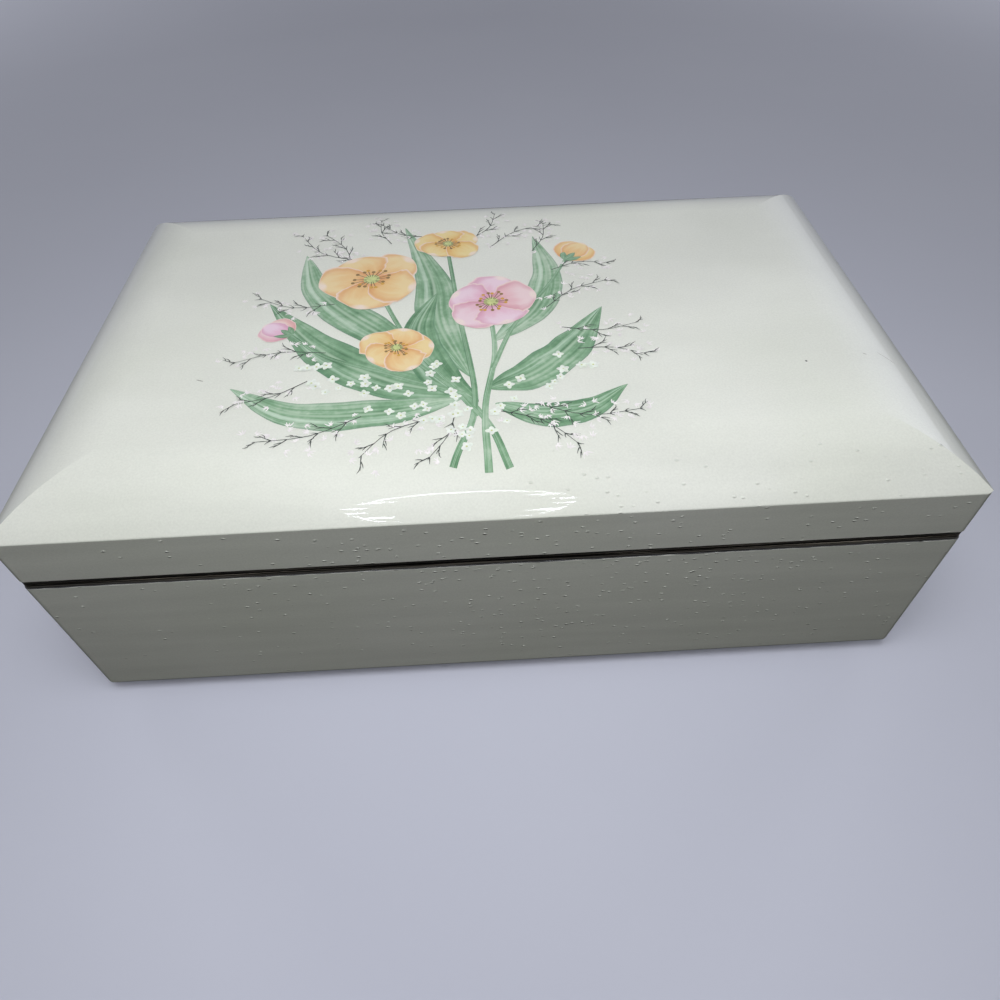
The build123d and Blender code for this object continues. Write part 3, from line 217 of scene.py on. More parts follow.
@cache
def black_edge_lacquer():
    """Black lacquer brushed along the meeting edges of body and lid."""
    # Streaks run with the grain, where the wood's pores telegraph through, and grey lines painted along the
    # rims' faces are painted highlights that stand in for the light on their arrises.
    material, shader, add = start_material(
        "brushed black edge lacquer", {"Roughness": 0.42, "IOR": 1.5, "Specular IOR Level": 0.25}
    )
    place = object_place(add)
    streaks = []
    for long_axis in range(2):
        stretch = [per_metre(0.34)] * 3
        stretch[long_axis] = per_metre(48)
        along = add("Mapping", {"Vector": place, "Scale": stretch})
        streaks.append(add("TexNoise", {"Vector": along, "Scale": 1.0, "Detail": 3.0}))
    # The grain turns at the mitred corners.
    low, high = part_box("body_rim")
    offset = add("VectorMath", {0: place, 1: tuple((low + high) / 2)}, operation="SUBTRACT")
    reach = add("VectorMath", {0: offset}, operation="ABSOLUTE")
    inside = add("VectorMath", {0: reach, 1: tuple((high - low) / 2)}, operation="SUBTRACT")
    inside_x = add("SeparateXYZ", {"Vector": inside}, output="X")
    inside_y = add("SeparateXYZ", {"Vector": inside}, output="Y")
    on_side = add("Math", {0: inside_x, 1: inside_y}, operation="GREATER_THAN")
    streak = add("Mix", {0: on_side, 2: streaks[0], 3: streaks[1]}, data_type="FLOAT")
    colour = add(
        "ValToRGB", {"Fac": streak},
        stops=[(0.4, "#0A0A0A"), (0.52, "#1A1816"), (0.59, "#4E4A43"), (0.72, "#8A857A")]
    )
    # A grey line painted along the middle of each rim's face is a painted highlight, standing in for the
    # light caught on its arris, plainest on the body.
    height = add("SeparateXYZ", {"Vector": place}, output="Z")
    for middle, half, painted_highlight_grey in ((-1.0, 0.28, "#77746C"), (0.95, 0.16, "#44413B")):
        off_line = add("Math", {0: height, 1: SEAM_LEVEL + middle * MM}, operation="SUBTRACT")
        off_line = add("Math", {0: off_line}, operation="ABSOLUTE")
        painted_highlight_mask = add(
            "MapRange", {"Value": off_line, "From Min": half * MM, "From Max": 0.5 * half * MM, "To Max": 0.9}
        )
        painted_highlight_mask = add("Math", {0: painted_highlight_mask, 1: streak}, operation="MULTIPLY")
        painted_highlight_mask = add("Math", {0: painted_highlight_mask, 1: 1.7}, operation="MULTIPLY", use_clamp=True)
        colour = add("Mix", {0: painted_highlight_mask, COLOUR_A: colour, COLOUR_B: painted_highlight_grey}, **IN_COLOUR)
    normal = add("Bump", {"Height": streak, "Distance": 0.06 * MM, "Strength": 0.6})
    feed(shader, {"Base Color": colour, "Normal": normal})
    return material


@cache
def birch_plywood():
    """Rotary-cut birch plywood, sanded and left bare."""
    # Long faint grain on the faces, stacked plies of alternate tone on the sawn edges.
    material, shader, add = start_material("sanded bare birch plywood", {"Roughness": 0.68, "IOR": 1.5})
    place = object_place(add)
    along = add("Mapping", {"Vector": place, "Scale": (per_metre(70), per_metre(2.4), per_metre(2.4))})
    figure = add("TexNoise", {"Vector": along, "Scale": 1.0, "Detail": 5.0, "Distortion": 0.6})
    face = add("ValToRGB", {"Fac": figure}, stops=[(0.3, "#B58F63"), (0.5, "#CDA97B"), (0.72, "#DDBE94")])
    height = add("SeparateXYZ", {"Vector": place}, output="Z")
    ply = add("Math", {0: height, 1: per_metre(1.35)}, operation="MULTIPLY")
    turn = add("Math", {0: ply}, operation="PINGPONG")
    edge = add("ValToRGB", {"Fac": turn}, stops=[(0.32, "#8F6B45"), (0.5, "#7A5836"), (0.66, "#C7A274")])
    facing = add("TexCoord", output="Normal")
    up = add("SeparateXYZ", {"Vector": facing}, output="Z")
    flat = add("Math", {0: up}, operation="ABSOLUTE")
    colour = add("Mix", {0: flat, COLOUR_A: edge, COLOUR_B: face}, **IN_COLOUR)
    normal = add("Bump", {"Height": figure, "Distance": 0.12 * MM, "Strength": 0.7})
    feed(shader, {"Base Color": colour, "Normal": normal})
    return material


@cache
def moulded_foot_plastic():
    """Injection-moulded ABS, satin from the tool's spark-eroded texture."""
    # A pale button with a fine even tooth, a little greyer where it has rubbed.
    material, shader, add = start_material("moulded satin ABS", {"Roughness": 0.46, "IOR": 1.53})
    place = object_place(add)
    tooth = add("TexNoise", {"Vector": place, "Scale": per_metre(0.35)})
    rub = add("TexNoise", {"Vector": place, "Scale": per_metre(6), "Detail": 3.0})
    colour = add("ValToRGB", {"Fac": rub}, stops=[(0.35, "#CFCBBB"), (0.7, "#B5B1A3")])
    normal = add("Bump", {"Height": tooth, "Distance": 0.03 * MM, "Strength": 0.8})
    feed(shader, {"Base Color": colour, "Normal": normal})
    return material


def worked_metal(name, shades, roughness, stretch, depth_mm, patch_mm):
    """A metal whose surface has marks stretched by stretch mm and cloudy patches of tarnish."""
    material, shader, add = start_material(name, {"Metallic": 1.0})
    place = object_place(add)
    along = add("Mapping", {"Vector": place, "Scale": [per_metre(size) for size in stretch]})
    marks = add("TexNoise", {"Vector": along, "Scale": 1.0, "Detail": 3.0})
    patch = add("TexNoise", {"Vector": place, "Scale": per_metre(patch_mm), "Detail": 4.0})
    colour = add("ValToRGB", {"Fac": patch}, stops=[(0.36, shades[0]), (0.66, shades[1])])
    dull = add(
        "MapRange",
        {"Value": patch, "From Min": 0.3, "From Max": 0.8, "To Min": roughness[0], "To Max": roughness[1]}
    )
    normal = add("Bump", {"Height": marks, "Distance": depth_mm * MM, "Strength": 0.7})
    feed(shader, {"Base Color": colour, "Roughness": dull, "Normal": normal})
    return material


@cache
def zinc_plated_steel():
    """Mild steel, barrel-plated with bright zinc."""
    # Cool silver with a soft cloudiness and tiny tumbling marks.
    return worked_metal(
        "bright zinc-plated steel", ("#C9CCCE", "#AEB4BA"), (0.24, 0.38), (1.2, 1.2, 1.2), 0.01, 3.0
    )


@cache
def stamped_brass():
    """Cartridge brass, stamped or turned and then tumbled."""
    # Warm yellow metal, browner where it has tarnished, with short tumbling scratches.
    return worked_metal(
        "tumbled cartridge brass", ("#E0BC6A", "#B98F45"), (0.2, 0.36), (2.5, 0.5, 0.5), 0.008, 8.0
    )


@cache
def die_cast_zinc():
    """Zinc alloy, die-cast and trimmed."""
    # Dull blue-grey with flow marks and a slightly pebbled skin.
    return worked_metal(
        "die-cast zinc alloy", ("#A3A7AB", "#8B9095"), (0.42, 0.55), (0.8, 0.8, 0.8), 0.03, 9.0
    )


@cache
def ground_spring_steel():
    """Hardened carbon steel, surface-ground across the piece."""
    # Fine straight grinding lines and a slight straw tint from tempering.
    return worked_metal(
        "ground spring steel", ("#B4B3AE", "#9C9EA2"), (0.26, 0.34), (0.25, 9.0, 9.0), 0.008, 10.0
    )


@cache
def pinned_brass():
    """Brass tube with hardened steel pins set in it and ground level."""
    # The pins stand out as bright grey points on the warm tube.
    material, shader, add = start_material(
        "brass cylinder with steel pins", {"Metallic": 1.0, "Roughness": 0.24}
    )
    place = object_place(add)
    offset = add("VectorMath", {0: place, 1: tuple(CYLINDER_AXIS)}, operation="SUBTRACT")
    radial = add("VectorMath", {0: offset, 1: (0.0, 1.0, 1.0)}, operation="MULTIPLY")
    radius = add("VectorMath", {0: radial}, output="Value", operation="LENGTH")
    proud = add("Math", {0: radius, 1: 6.56 * MM}, operation="GREATER_THAN")
    turning = add("Mapping", {"Vector": place, "Scale": (per_metre(0.3), per_metre(12), per_metre(12))})
    lines = add("TexNoise", {"Vector": turning, "Scale": 1.0})
    tube = add("ValToRGB", {"Fac": lines}, stops=[(0.35, "#D2AE5E"), (0.65, "#BF974A")])
    colour = add("Mix", {0: proud, COLOUR_A: tube, COLOUR_B: "#C4C6C8"}, **IN_COLOUR)
    normal = add("Bump", {"Height": lines, "Distance": 0.006 * MM, "Strength": 0.7})
    feed(shader, {"Base Color": colour, "Normal": normal})
    return material


@cache
def rayon_velvet():
    """Rayon velvet, woven, cut and brushed, glued to card or foam."""
    # Short upright pile: pale along grazing edges, with brushed patches that lean to light or dark.
    look = bpy.context.scene.box_lining
    material, shader, add = start_material(
        "cut rayon velvet",
        {
            "Roughness": 0.92, "Specular IOR Level": 0.15, "Sheen Weight": 0.32, "Sheen Roughness": 0.5,
            "Sheen Tint": "#C9757F"
        }
    )
    place = object_place(add)
    nap = add("TexNoise", {"Vector": place, "Scale": per_metre(17), "Detail": 3.0, "Distortion": 0.8})
    pile = add("TexNoise", {"Vector": place, "Scale": per_metre(look.pile_spacing / MM)})
    lean = add("MapRange", {"Value": nap, "From Min": 0.32, "From Max": 0.7})
    brushed = add("Mix", {0: lean, COLOUR_A: look.velvet_shade, COLOUR_B: look.velvet}, **IN_COLOUR)
    tips = add("MapRange", {"Value": pile, "From Min": 0.3, "From Max": 0.7, "To Min": 0.72, "To Max": 1.2})
    colour = add("Mix", {0: 1.0, COLOUR_A: brushed, COLOUR_B: tips}, **IN_COLOUR, blend_type="MULTIPLY")
    soft = add("Bump", {"Height": nap, "Distance": 0.5 * MM, "Strength": 0.5})
    normal = add("Bump", {"Height": pile, "Distance": 0.16 * MM, "Strength": 0.9, "Normal": soft})
    feed(shader, {"Base Color": colour, "Normal": normal})
    return material


@cache
def acetate_satin():
    """Acetate satin, woven and stretched over a card."""
    # Long warp floats give a soft streaky lustre along one way of the cloth.
    look = bpy.context.scene.box_lining
    material, shader, add = start_material(
        "woven acetate satin",
        {
            "Roughness": 0.33, "Specular IOR Level": 0.75, "Anisotropic": 0.6, "Sheen Weight": 0.25,
            "Sheen Roughness": 0.4
        }
    )
    place = object_place(add)
    # A 0.12 mm thread is drawn every 0.4 mm so that the weave shows.
    threads = []
    for band_mm, direction, waver in ((0.4, "X", 1.2), (1.6, "Y", 2.0)):
        bands = {"Vector": place, "Scale": per_band(band_mm), "Distortion": waver}
        threads.append(add("TexWave", bands, output="Fac", bands_direction=direction))
    warp, weft = threads
    weave = add("Math", {0: weft, 1: 0.35, 2: warp}, operation="MULTIPLY_ADD")
    wide = add("Mapping", {"Vector": place, "Scale": (per_metre(5), per_metre(60), per_metre(60))})
    slub = add("TexNoise", {"Vector": wide, "Scale": 1.0, "Detail": 3.0})
    colour = add("Mix", {0: slub, COLOUR_A: look.satin_shade, COLOUR_B: look.satin}, **IN_COLOUR)
    ease = add("TexNoise", {"Vector": place, "Scale": per_metre(30), "Detail": 1.0})
    slack = add("Bump", {"Height": ease, "Distance": 1.4 * MM, "Strength": 0.8})
    normal = add("Bump", {"Height": weave, "Distance": 0.03 * MM, "Strength": 0.8, "Normal": slack})
    feed(shader, {"Base Color": colour, "Normal": normal})
    return material


@cache
def silvered_glass():
    """Float glass, silvered on its back, cut and edge-ground."""
    # A true mirror inside a faint green ground edge, with pinprick losses of silver near the rim.
    material, shader, add = start_material(
        "silvered float glass", {"IOR": 1.52, "Coat Weight": 1.0, "Coat Roughness": 0.01}
    )
    facing = add("TexCoord", output="Normal")
    up = add("SeparateXYZ", {"Vector": facing}, output="Z")
    level = add("Math", {0: up}, operation="ABSOLUTE")
    face = add("Math", {0: level, 1: 0.5}, operation="GREATER_THAN")
    share = add("TexCoord", output="Generated")
    from_middle = add("VectorMath", {0: share, 1: (0.5, 0.5, 0.5)}, operation="SUBTRACT")
    reach = add("VectorMath", {0: from_middle}, operation="ABSOLUTE")
    reach_x = add("SeparateXYZ", {"Vector": reach}, output="X")
    reach_y = add("SeparateXYZ", {"Vector": reach}, output="Y")
    rim = add("Math", {0: reach_x, 1: reach_y}, operation="MAXIMUM")
    near_rim = add("MapRange", {"Value": rim, "From Min": 0.462, "From Max": 0.5, "To Max": 0.34})
    place = object_place(add)
    spots = add("TexNoise", {"Vector": place, "Scale": per_metre(2.2), "Detail": 3.0})
    lost = add("Math", {0: spots, 1: near_rim}, operation="ADD")
    silver = add("ValToRGB", {"Fac": lost}, stops=[(0.8, "#F1F4F3"), (0.9, "#6B665C")])
    colour = add("Mix", {0: face, COLOUR_A: "#9DBDB0", COLOUR_B: silver}, **IN_COLOUR)
    rough = add("MapRange", {"Value": face, "To Min": 0.3, "To Max": 0.012})
    feed(shader, {"Base Color": colour, "Metallic": face, "Roughness": rough})
    return material


@cache
def embossed_gilt():
    """Brass-coloured foil, embossed by a roller and glued to a narrow moulding."""
    # A twisted-rope pattern at 2.4 mm, coloured darker in its lows and brighter on its highs.
    material, shader, add = start_material("roller-embossed gilt foil", {"Metallic": 1.0})
    place = object_place(add)
    rope = []
    for direction, lay in (("X", 38), ("Y", -38)):
        slant = add("Mapping", {"Vector": place, "Rotation": (0.0, 0.0, math.radians(lay))})
        rope.append(
            add("TexWave", {"Vector": slant, "Scale": per_band(2.4)}, output="Fac", bands_direction=direction)
        )
    twist = add("Math", {0: rope[0], 1: rope[1]}, operation="MULTIPLY")
    colour = add("ValToRGB", {"Fac": twist}, stops=[(0.0, "#6E4F22"), (0.35, "#B8893F"), (0.8, "#E6C273")])
    dull = add("MapRange", {"Value": twist, "To Min": 0.48, "To Max": 0.24})
    normal = add("Bump", {"Height": twist, "Distance": 0.35 * MM, "Strength": 0.9})
    feed(shader, {"Base Color": colour, "Roughness": dull, "Normal": normal})
    return material


@cache
def moulded_nylon():
    """Natural nylon 66, injection-moulded."""
    # Milky and a little translucent, with a waxy surface.
    material, shader, add = start_material(
        "moulded natural nylon",
        {"Roughness": 0.38, "IOR": 1.53, "Subsurface Weight": 0.25, "Subsurface Scale": 1.0 * MM}
    )
    place = object_place(add)
    cloud = add("TexNoise", {"Vector": place, "Scale": per_metre(2)})
    colour = add("ValToRGB", {"Fac": cloud}, stops=[(0.3, "#E5E0CF"), (0.7, "#D5CEB9")])
    normal = add("Bump", {"Height": cloud, "Distance": 0.02 * MM, "Strength": 0.5})
    feed(shader, {"Base Color": colour, "Normal": normal})
    return material


@cache
def cast_acrylic():
    """Clear cast acrylic sheet, saw-cut and flame-polished."""
    # Nearly invisible face on, with a faint cool tint and hairline wiping scratches.
    material, shader, add = start_material(
        "clear cast acrylic", {"Base Color": "#F5F9FA", "IOR": 1.49, "Transmission Weight": 1.0}
    )
    place = object_place(add)
    wiped = add(
        "Mapping",
        {"Vector": place, "Rotation": (0, 0, 0.5), "Scale": (per_metre(24), per_metre(0.4), per_metre(24))}
    )
    hairs = add("TexNoise", {"Vector": wiped, "Scale": 1.0})
    haze = add(
        "MapRange", {"Value": hairs, "From Min": 0.62, "From Max": 0.8, "To Min": 0.02, "To Max": 0.14}
    )
    feed(shader, {"Roughness": haze})
    # Lamps light what is under the sheet, as they do through real clear acrylic.
    lit = add("LightPath", output="Is Shadow Ray")
    through = add("BsdfTransparent", {"Color": "#F1F6F6"})
    both = add("MixShader", {0: lit, 1: shader.outputs[0], 2: through})
    out = next(node for node in material.node_tree.nodes if node.type == "OUTPUT_MATERIAL")
    feed(out, {"Surface": both})
    return material


def printed_ink(name):
    """Starts an ink of the litho transfer, which lies under the same lacquer as the lid around it."""
    look = bpy.context.scene.box_lacquer
    material, shader, add = start_material(name, LACQUER_COAT)
    place = object_place(add)
    skin = sprayed_skin(add, place, look)
    feed(shader, {"Normal": skin, "Coat Normal": skin})
    tone = add("Attribute", output="Fac", attribute_name="tone")
    return material, shader, add, place, tone


def shape_place(add, tone, stretch, detail):
    """Where a point is on its printed shape, off the middle line and along it, and its streaks."""
    uv = add("TexCoord", output="UV")
    across, along = (add("SeparateXYZ", {"Vector": uv}, output=axis) for axis in "XY")
    spun = add("CombineXYZ", {"X": tone, "Y": tone, "Z": tone})
    stretched = add("VectorMath", {0: uv, 1: stretch, 2: spun}, operation="MULTIPLY_ADD")
    streak = add("TexNoise", {"Vector": stretched, "Scale": 1.0, "Detail": detail})
    centred = add("Math", {0: across, 1: 2.0, 2: -1.0}, operation="MULTIPLY_ADD")
    away = add("Math", {0: centred}, operation="ABSOLUTE")
    return centred, away, along, streak


@cache
def petal_ink():
    """Petals printed in transparent litho inks, from a deep throat to a pale rim."""
    # Soft streaks fan from the throat, washes pool unevenly, and a thin pale rim parts the petals.
    material, shader, add, place, tone = printed_ink("litho petal inks")
    # From yellow through orange to pink, by the shape's tone.
    deep, middle, pale = (
        add("ValToRGB", {"Fac": tone}, stops=list(zip((0.0, 0.5, 1.0), shades))) for shades in (
            ("#E3A856", "#E19C68", "#D490B2"), ("#ECCB80", "#EEC68F", "#E8BCD5"),
            ("#EFDC9E", "#F1D8A8", "#F0D8EA")
        )
    )
    _, away, along, streak = shape_place(add, tone, (11.0, 1.6, 0.0), 4.0)
    wash = add("TexNoise", {"Vector": place, "Scale": per_metre(6), "Detail": 3.0})
    stray = add("Math", {0: streak, 1: 0.55, 2: along}, operation="MULTIPLY_ADD")
    drift = add("Math", {0: wash, 1: 0.5, 2: stray}, operation="MULTIPLY_ADD")
    lift = add(
        "MapRange", {"Value": drift, "From Min": 0.5, "From Max": 0.9}, interpolation_type="SMOOTHSTEP"
    )
    colour = add("Mix", {0: lift, COLOUR_A: deep, COLOUR_B: middle}, **IN_COLOUR)
    fade = add(
        "MapRange", {"Value": drift, "From Min": 0.85, "From Max": 1.3, "To Max": 0.9},
        interpolation_type="SMOOTHSTEP"
    )
    colour = add("Mix", {0: fade, COLOUR_A: colour, COLOUR_B: pale}, **IN_COLOUR)
    # The body of each petal is light and its flanks are warmer, in uneven pools.
    pooled = add("Math", {0: wash, 1: 0.5, 2: away}, operation="MULTIPLY_ADD")
    shade = add(
        "MapRange", {"Value": pooled, "From Min": 0.72, "From Max": 1.2, "To Max": 0.62},
        interpolation_type="SMOOTHSTEP"
    )
    colour = add("Mix", {0: shade, COLOUR_A: colour, COLOUR_B: deep}, **IN_COLOUR)
    tip = add("MapRange", {"Value": along, "From Min": 0.9, "From Max": 0.985})
    side = add("MapRange", {"Value": away, "From Min": 0.88, "From Max": 0.98})
    edge = add("Math", {0: tip, 1: side}, operation="MAXIMUM")
    rim = add("Math", {0: edge, 1: 0.8}, operation="MULTIPLY")
    colour = add("Mix", {0: rim, COLOUR_A: colour, COLOUR_B: "#F6E6DF"}, **IN_COLOUR)
    feed(shader, {"Base Color": colour})
    return material


@cache
def leaf_ink():
    """Leaves and stems printed in blue-greens over a pale wash."""
    # Lighter streaks run along the blade, a pale midrib and side veins show, and the wash thins in places.
    material, shader, add, place, tone = printed_ink("litho leaf inks")
    centred, away, along, streak = shape_place(add, tone, (8.0, 1.9, 0.0), 5.0)
    wash = add("TexNoise", {"Vector": place, "Scale": per_metre(10), "Detail": 4.0})
    settled = add("TexNoise", {"Vector": place, "Scale": per_metre(1.8), "Detail": 3.0})
    depth = add("Math", {0: wash, 1: 0.7, 2: streak}, operation="MULTIPLY_ADD")
    depth = add("Math", {0: settled, 1: 0.3, 2: depth}, operation="MULTIPLY_ADD")
    toned = add("Math", {0: tone, 1: 0.45, 2: depth}, operation="MULTIPLY_ADD")
    colour = add(
        "ValToRGB", {"Fac": add("Math", {0: toned, 1: 0.58}, operation="MULTIPLY")},
        stops=[(0.4, "#3B6544"), (0.53, "#58875F"), (0.67, "#80A985"), (0.84, "#BFD4BF")]
    )
    # Side veins leave the midrib every tenth of the blade and lean to the tip.
    run = add("Math", {0: away, 1: -0.09, 2: along}, operation="MULTIPLY_ADD")
    beat = add("Math", {0: run, 1: 10.0}, operation="MULTIPLY")
    vein_turn = add("Math", {0: beat, 1: 0.5}, operation="PINGPONG")
    side_vein = add("MapRange", {"Value": vein_turn, "From Max": 0.07, "To Min": 0.09, "To Max": 0.0})
    midrib = add(
        "MapRange", {"Value": away, "From Min": 0.03, "From Max": 0.13, "To Min": 0.75, "To Max": 0.0}
    )
    vein = add("Math", {0: side_vein, 1: midrib}, operation="MAXIMUM")
    colour = add("Mix", {0: vein, COLOUR_A: colour, COLOUR_B: "#B2CDB3"}, **IN_COLOUR)
    # One half of each blade catches the light in a broad broken streak.
    lit_half = add("MapRange", {"Value": centred, "From Min": 0.05, "From Max": 0.45})
    back_off = add(
        "MapRange", {"Value": centred, "From Min": 0.5, "From Max": 0.85, "To Min": 1.0, "To Max": 0.0}
    )
    broken = add("MapRange", {"Value": streak, "From Min": 0.42, "From Max": 0.66, "To Max": 0.75})
    gleam = add("Math", {0: lit_half, 1: back_off}, operation="MULTIPLY")
    gleam = add("Math", {0: gleam, 1: broken}, operation="MULTIPLY")
    colour = add("Mix", {0: gleam, COLOUR_A: colour, COLOUR_B: "#CBE2D0"}, **IN_COLOUR)
    border = add("MapRange", {"Value": away, "From Min": 0.84, "To Max": 0.55})
    colour = add("Mix", {0: border, COLOUR_A: colour, COLOUR_B: "#3F7455"}, **IN_COLOUR)
    feed(shader, {"Base Color": colour})
    return material


@cache
def fine_ink():
    """Twigs, florets, stamens and specks: one set of flat inks picked by tone."""
    # Key lines are nearly black, floret white is opaque, and each stroke varies a little along its length.
    material, shader, add, place, tone = printed_ink("litho key and white inks")
    colour = add(
        "ValToRGB", {"Fac": tone},
        stops=[
            (0.05, "#343B36"), (0.14, "#A6A79F"), (0.25, "#6E5A3A"), (0.45, "#D9A640"), (0.6, "#C9D48E"),
            (0.8, "#EAF3EA"), (0.95, "#F6F3F4")
        ]
    )
    press = add("TexNoise", {"Vector": place, "Scale": per_metre(1.5), "Detail": 3.0})
    thin = add("MapRange", {"Value": press, "From Min": 0.3, "From Max": 0.7, "To Min": 0.86, "To Max": 1.12})
    colour = add("Mix", {0: 1.0, COLOUR_A: colour, COLOUR_B: thin}, **IN_COLOUR, blend_type="MULTIPLY")
    feed(shader, {"Base Color": colour})
    return material


@cache
def studio_paper():
    """Matte seamless paper under the box."""
    # The camera sees it pale, while the light it sends up to the box stays weak, as from grey cloth.
    look = bpy.context.scene.box_stage
    material, shader, add = start_material(
        "matte seamless paper", {"Roughness": 0.9, "Specular IOR Level": 0.2}
    )
    place = object_place(add)
    tooth = add("TexNoise", {"Vector": place, "Scale": per_metre(160), "Detail": 3.0})
    pale = add("Mix", {0: tooth, COLOUR_A: look.floor_shade, COLOUR_B: look.floor_colour}, **IN_COLOUR)
    direct = add("LightPath", output="Is Camera Ray")
    through = add("LightPath", output="Is Transmission Ray")
    mirrored = add("LightPath", output="Is Glossy Ray")
    # The gloss of the walls sees the shaded paper close by; the looking glass sees the pale paper farther
    # off.
    reach = add("VectorMath", {0: place}, output="Value", operation="LENGTH")
    far = add("MapRange", {"Value": reach, "From Min": 0.26, "From Max": 0.45})
    mirrored = add("Math", {0: mirrored, 1: far}, operation="MULTIPLY")
    seen = add("Math", {0: direct, 1: through}, operation="MAXIMUM")
    seen = add("Math", {0: seen, 1: mirrored}, operation="MAXIMUM")
    colour = add("Mix", {0: seen, COLOUR_A: look.floor_bounce, COLOUR_B: pale}, **IN_COLOUR)
    feed(shader, {"Base Color": colour})
    # What the camera sees is lifted, more and more beyond the lamps' reach, so that the paper stays pale
    # out to the horizon.
    distant = add(
        "MapRange",
        {
            "Value": reach, "From Min": LIT_RADIUS, "From Max": FAR_RADIUS, "To Min": look.floor_lift,
            "To Max": FAR_LIFT
        }
    )
    lifted = add("Math", {0: seen, 1: distant}, operation="MULTIPLY")
    feed(shader, {"Emission Color": look.floor_colour, "Emission Strength": lifted})
    return material


def lamp_glow(strength):
    """The lit face of the ring lamp."""
    material = bpy.data.materials.new("ring lamp diffuser")
    material.use_nodes = True
    tree = material.node_tree
    tree.nodes.clear()
    glow = add_node(tree, "Emission", {"Color": "#F0F3FF", "Strength": strength})
    feed(tree.nodes.new("ShaderNodeOutputMaterial"), {"Surface": glow})
    return material


def finish(names, material):
    """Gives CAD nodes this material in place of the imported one."""
    for name in names:
        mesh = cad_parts[name].data
        mesh.materials.clear()
        mesh.materials.append(material)


def mesh_piece(name, points, faces, material, smooth=True):
    """A new mesh object from points in metres."""
    mesh = bpy.data.meshes.new(name)
    mesh.from_pydata(points, [], faces)
    mesh.materials.append(material)
    mesh.validate()
    mesh.update()
    piece = bpy.data.objects.new(name, mesh)
    bpy.context.scene.collection.objects.link(piece)
    if smooth:
        mesh.shade_smooth()
    return piece


# Print


# Heights in mm over the lid, so that each shape lies over those printed before it.
MARK_LIFT, LEAF_LIFT, STEM_LIFT, TUFT_LIFT, TWIG_LIFT, FLORET_LIFT = 0.02, 0.04, 0.074, 0.082, 0.105, 0.12
PETAL_LIFT, SEPAL_LIFT, EYE_LIFT, STAMEN_LIFT, ANTHER_LIFT = 0.13, 0.15, 0.172, 0.184, 0.196
# Which colour of its ink each shape takes, from 0 to 1 along the ink's ramp.
TWIG_TONE, STAMEN_TONE, ANTHER_TONES, EYE_TONE = 0.03, 0.25, (0.3, 0.45), 0.6
FLORET_TONES, TUFT_TONE, SEPAL_TONE = (0.78, 0.86), 0.93, 0.25


def lid_surface():
    """The lid's top board as packed, for laying the print on."""
    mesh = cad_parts["lid_top"].data
    return BVHTree.FromPolygons([v.co.copy() for v in mesh.vertices], [p.vertices[:] for p in mesh.polygons])


class Ink:
    """The shapes printed with one ink, gathered before they become a mesh."""

    def __init__(self, surface):
        self.surface = surface
        self.points, self.faces, self.spots, self.tones = [], [], [], []
        self.shapes = 0

    def lay(self, place, lift):
        """Adds a point of the print above place, in mm from the lid's middle."""
        above = Vector((LID_MIDDLE.x + place.x * MM, LID_MIDDLE.y + place.y * MM, LID_HIGH.z + MM))
        hit, normal, _, _ = self.surface.ray_cast(above, Vector((0, 0, -1)))
        if hit is None:
            raise RuntimeError("the print runs off the lid at %s" % place)
        self.points.append(hit + normal * lift * MM)

    def stroke(self, course, reach, lift, tone, columns=2, rows=12, wobble=0.0, notch=0.0):
        """Prints a shape along course; reach(share) is its half width in mm."""
        first = len(self.points)
        # A hair's breadth between shapes keeps overlapping ones from sharing a plane.
        lift += 0.0004 * (self.shapes % 23)
        self.shapes += 1
        for row in range(rows + 1):
            share = 0.5 - 0.5 * math.cos(math.pi * row / rows)
            here, ahead = course_at(course, share)
            side = Vector((-ahead.y, ahead.x))
            for column in range(columns + 1):
                across = 2 * column / columns - 1
                sway = wobble * noise.noise(Vector((share * 7, math.copysign(3, across), first * 0.37)))
                half = max(0.02, reach(share) * (1 + sway))
                dip = notch * share**6 * max(0.0, 1 - (across / 0.7) ** 2)
                self.lay(here + side * across * half - ahead * dip, lift)
                self.spots.append((column / columns, share))
                self.tones.append(tone)
        wide = columns + 1
        for row in range(rows):
            for column in range(columns):
                corner = first + row * wide + column
                self.faces.append((corner + 1, corner, corner + wide, corner + wide + 1))

    def dot(self, centre, radius, lift, tone, columns=6, rows=8):
        """Prints a round spot."""
        span = Vector((radius, 0))
        self.stroke(
            [centre - span, centre, centre + span],
            lambda share: 2 * radius * math.sqrt(max(0.0, share * (1 - share))), lift, tone, columns, rows
        )

    def piece(self, name, material):
        """Makes the mesh of all shapes printed so far, which turns with the lid."""
        piece = mesh_piece(name, self.points, self.faces, material)
        mesh = piece.data
        layer = mesh.uv_layers.new(name="print")
        for loop in mesh.loops:
            layer.data[loop.index].uv = self.spots[loop.vertex_index]
        tones = mesh.attributes.new("tone", "FLOAT", "POINT")
        tones.data.foreach_set("value", self.tones)
        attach(piece, "lid")


def course_at(course, share):
    """The point and direction at a share of a smooth curve through the points of course."""
    spans = len(course) - 1
    span = min(int(share * spans), spans - 1)
    t = share * spans - span
    p1, p2 = course[span], course[span + 1]
    p0 = course[span - 1] if span else p1 * 2 - p2
    p3 = course[span + 2] if span + 2 <= spans else p2 * 2 - p1
    here = (
        p1 * 2 + (p2 - p0) * t + (p0 * 2 - p1 * 5 + p2 * 4 - p3) * t * t + (p1 * 3 - p0 - p2 * 3 + p3) * t**3
    ) / 2
    ahead = (
        (p2 - p0) + (p0 * 2 - p1 * 5 + p2 * 4 - p3) * 2 * t + (p1 * 3 - p0 - p2 * 3 + p3) * 3 * t * t
    ) / 2
    return here, ahead.normalized()


def heading(angle, length=1.0):
    """A step of that length, in mm, at an angle in degrees from the lid's right."""
    return Vector((math.cos(math.radians(angle)), math.sin(math.radians(angle)))) * length


def blade(half_width):
    """The half width of a pointed leaf along its length."""
    return lambda share: half_width * math.sin(math.pi * share**0.85) ** 0.9 + 0.05


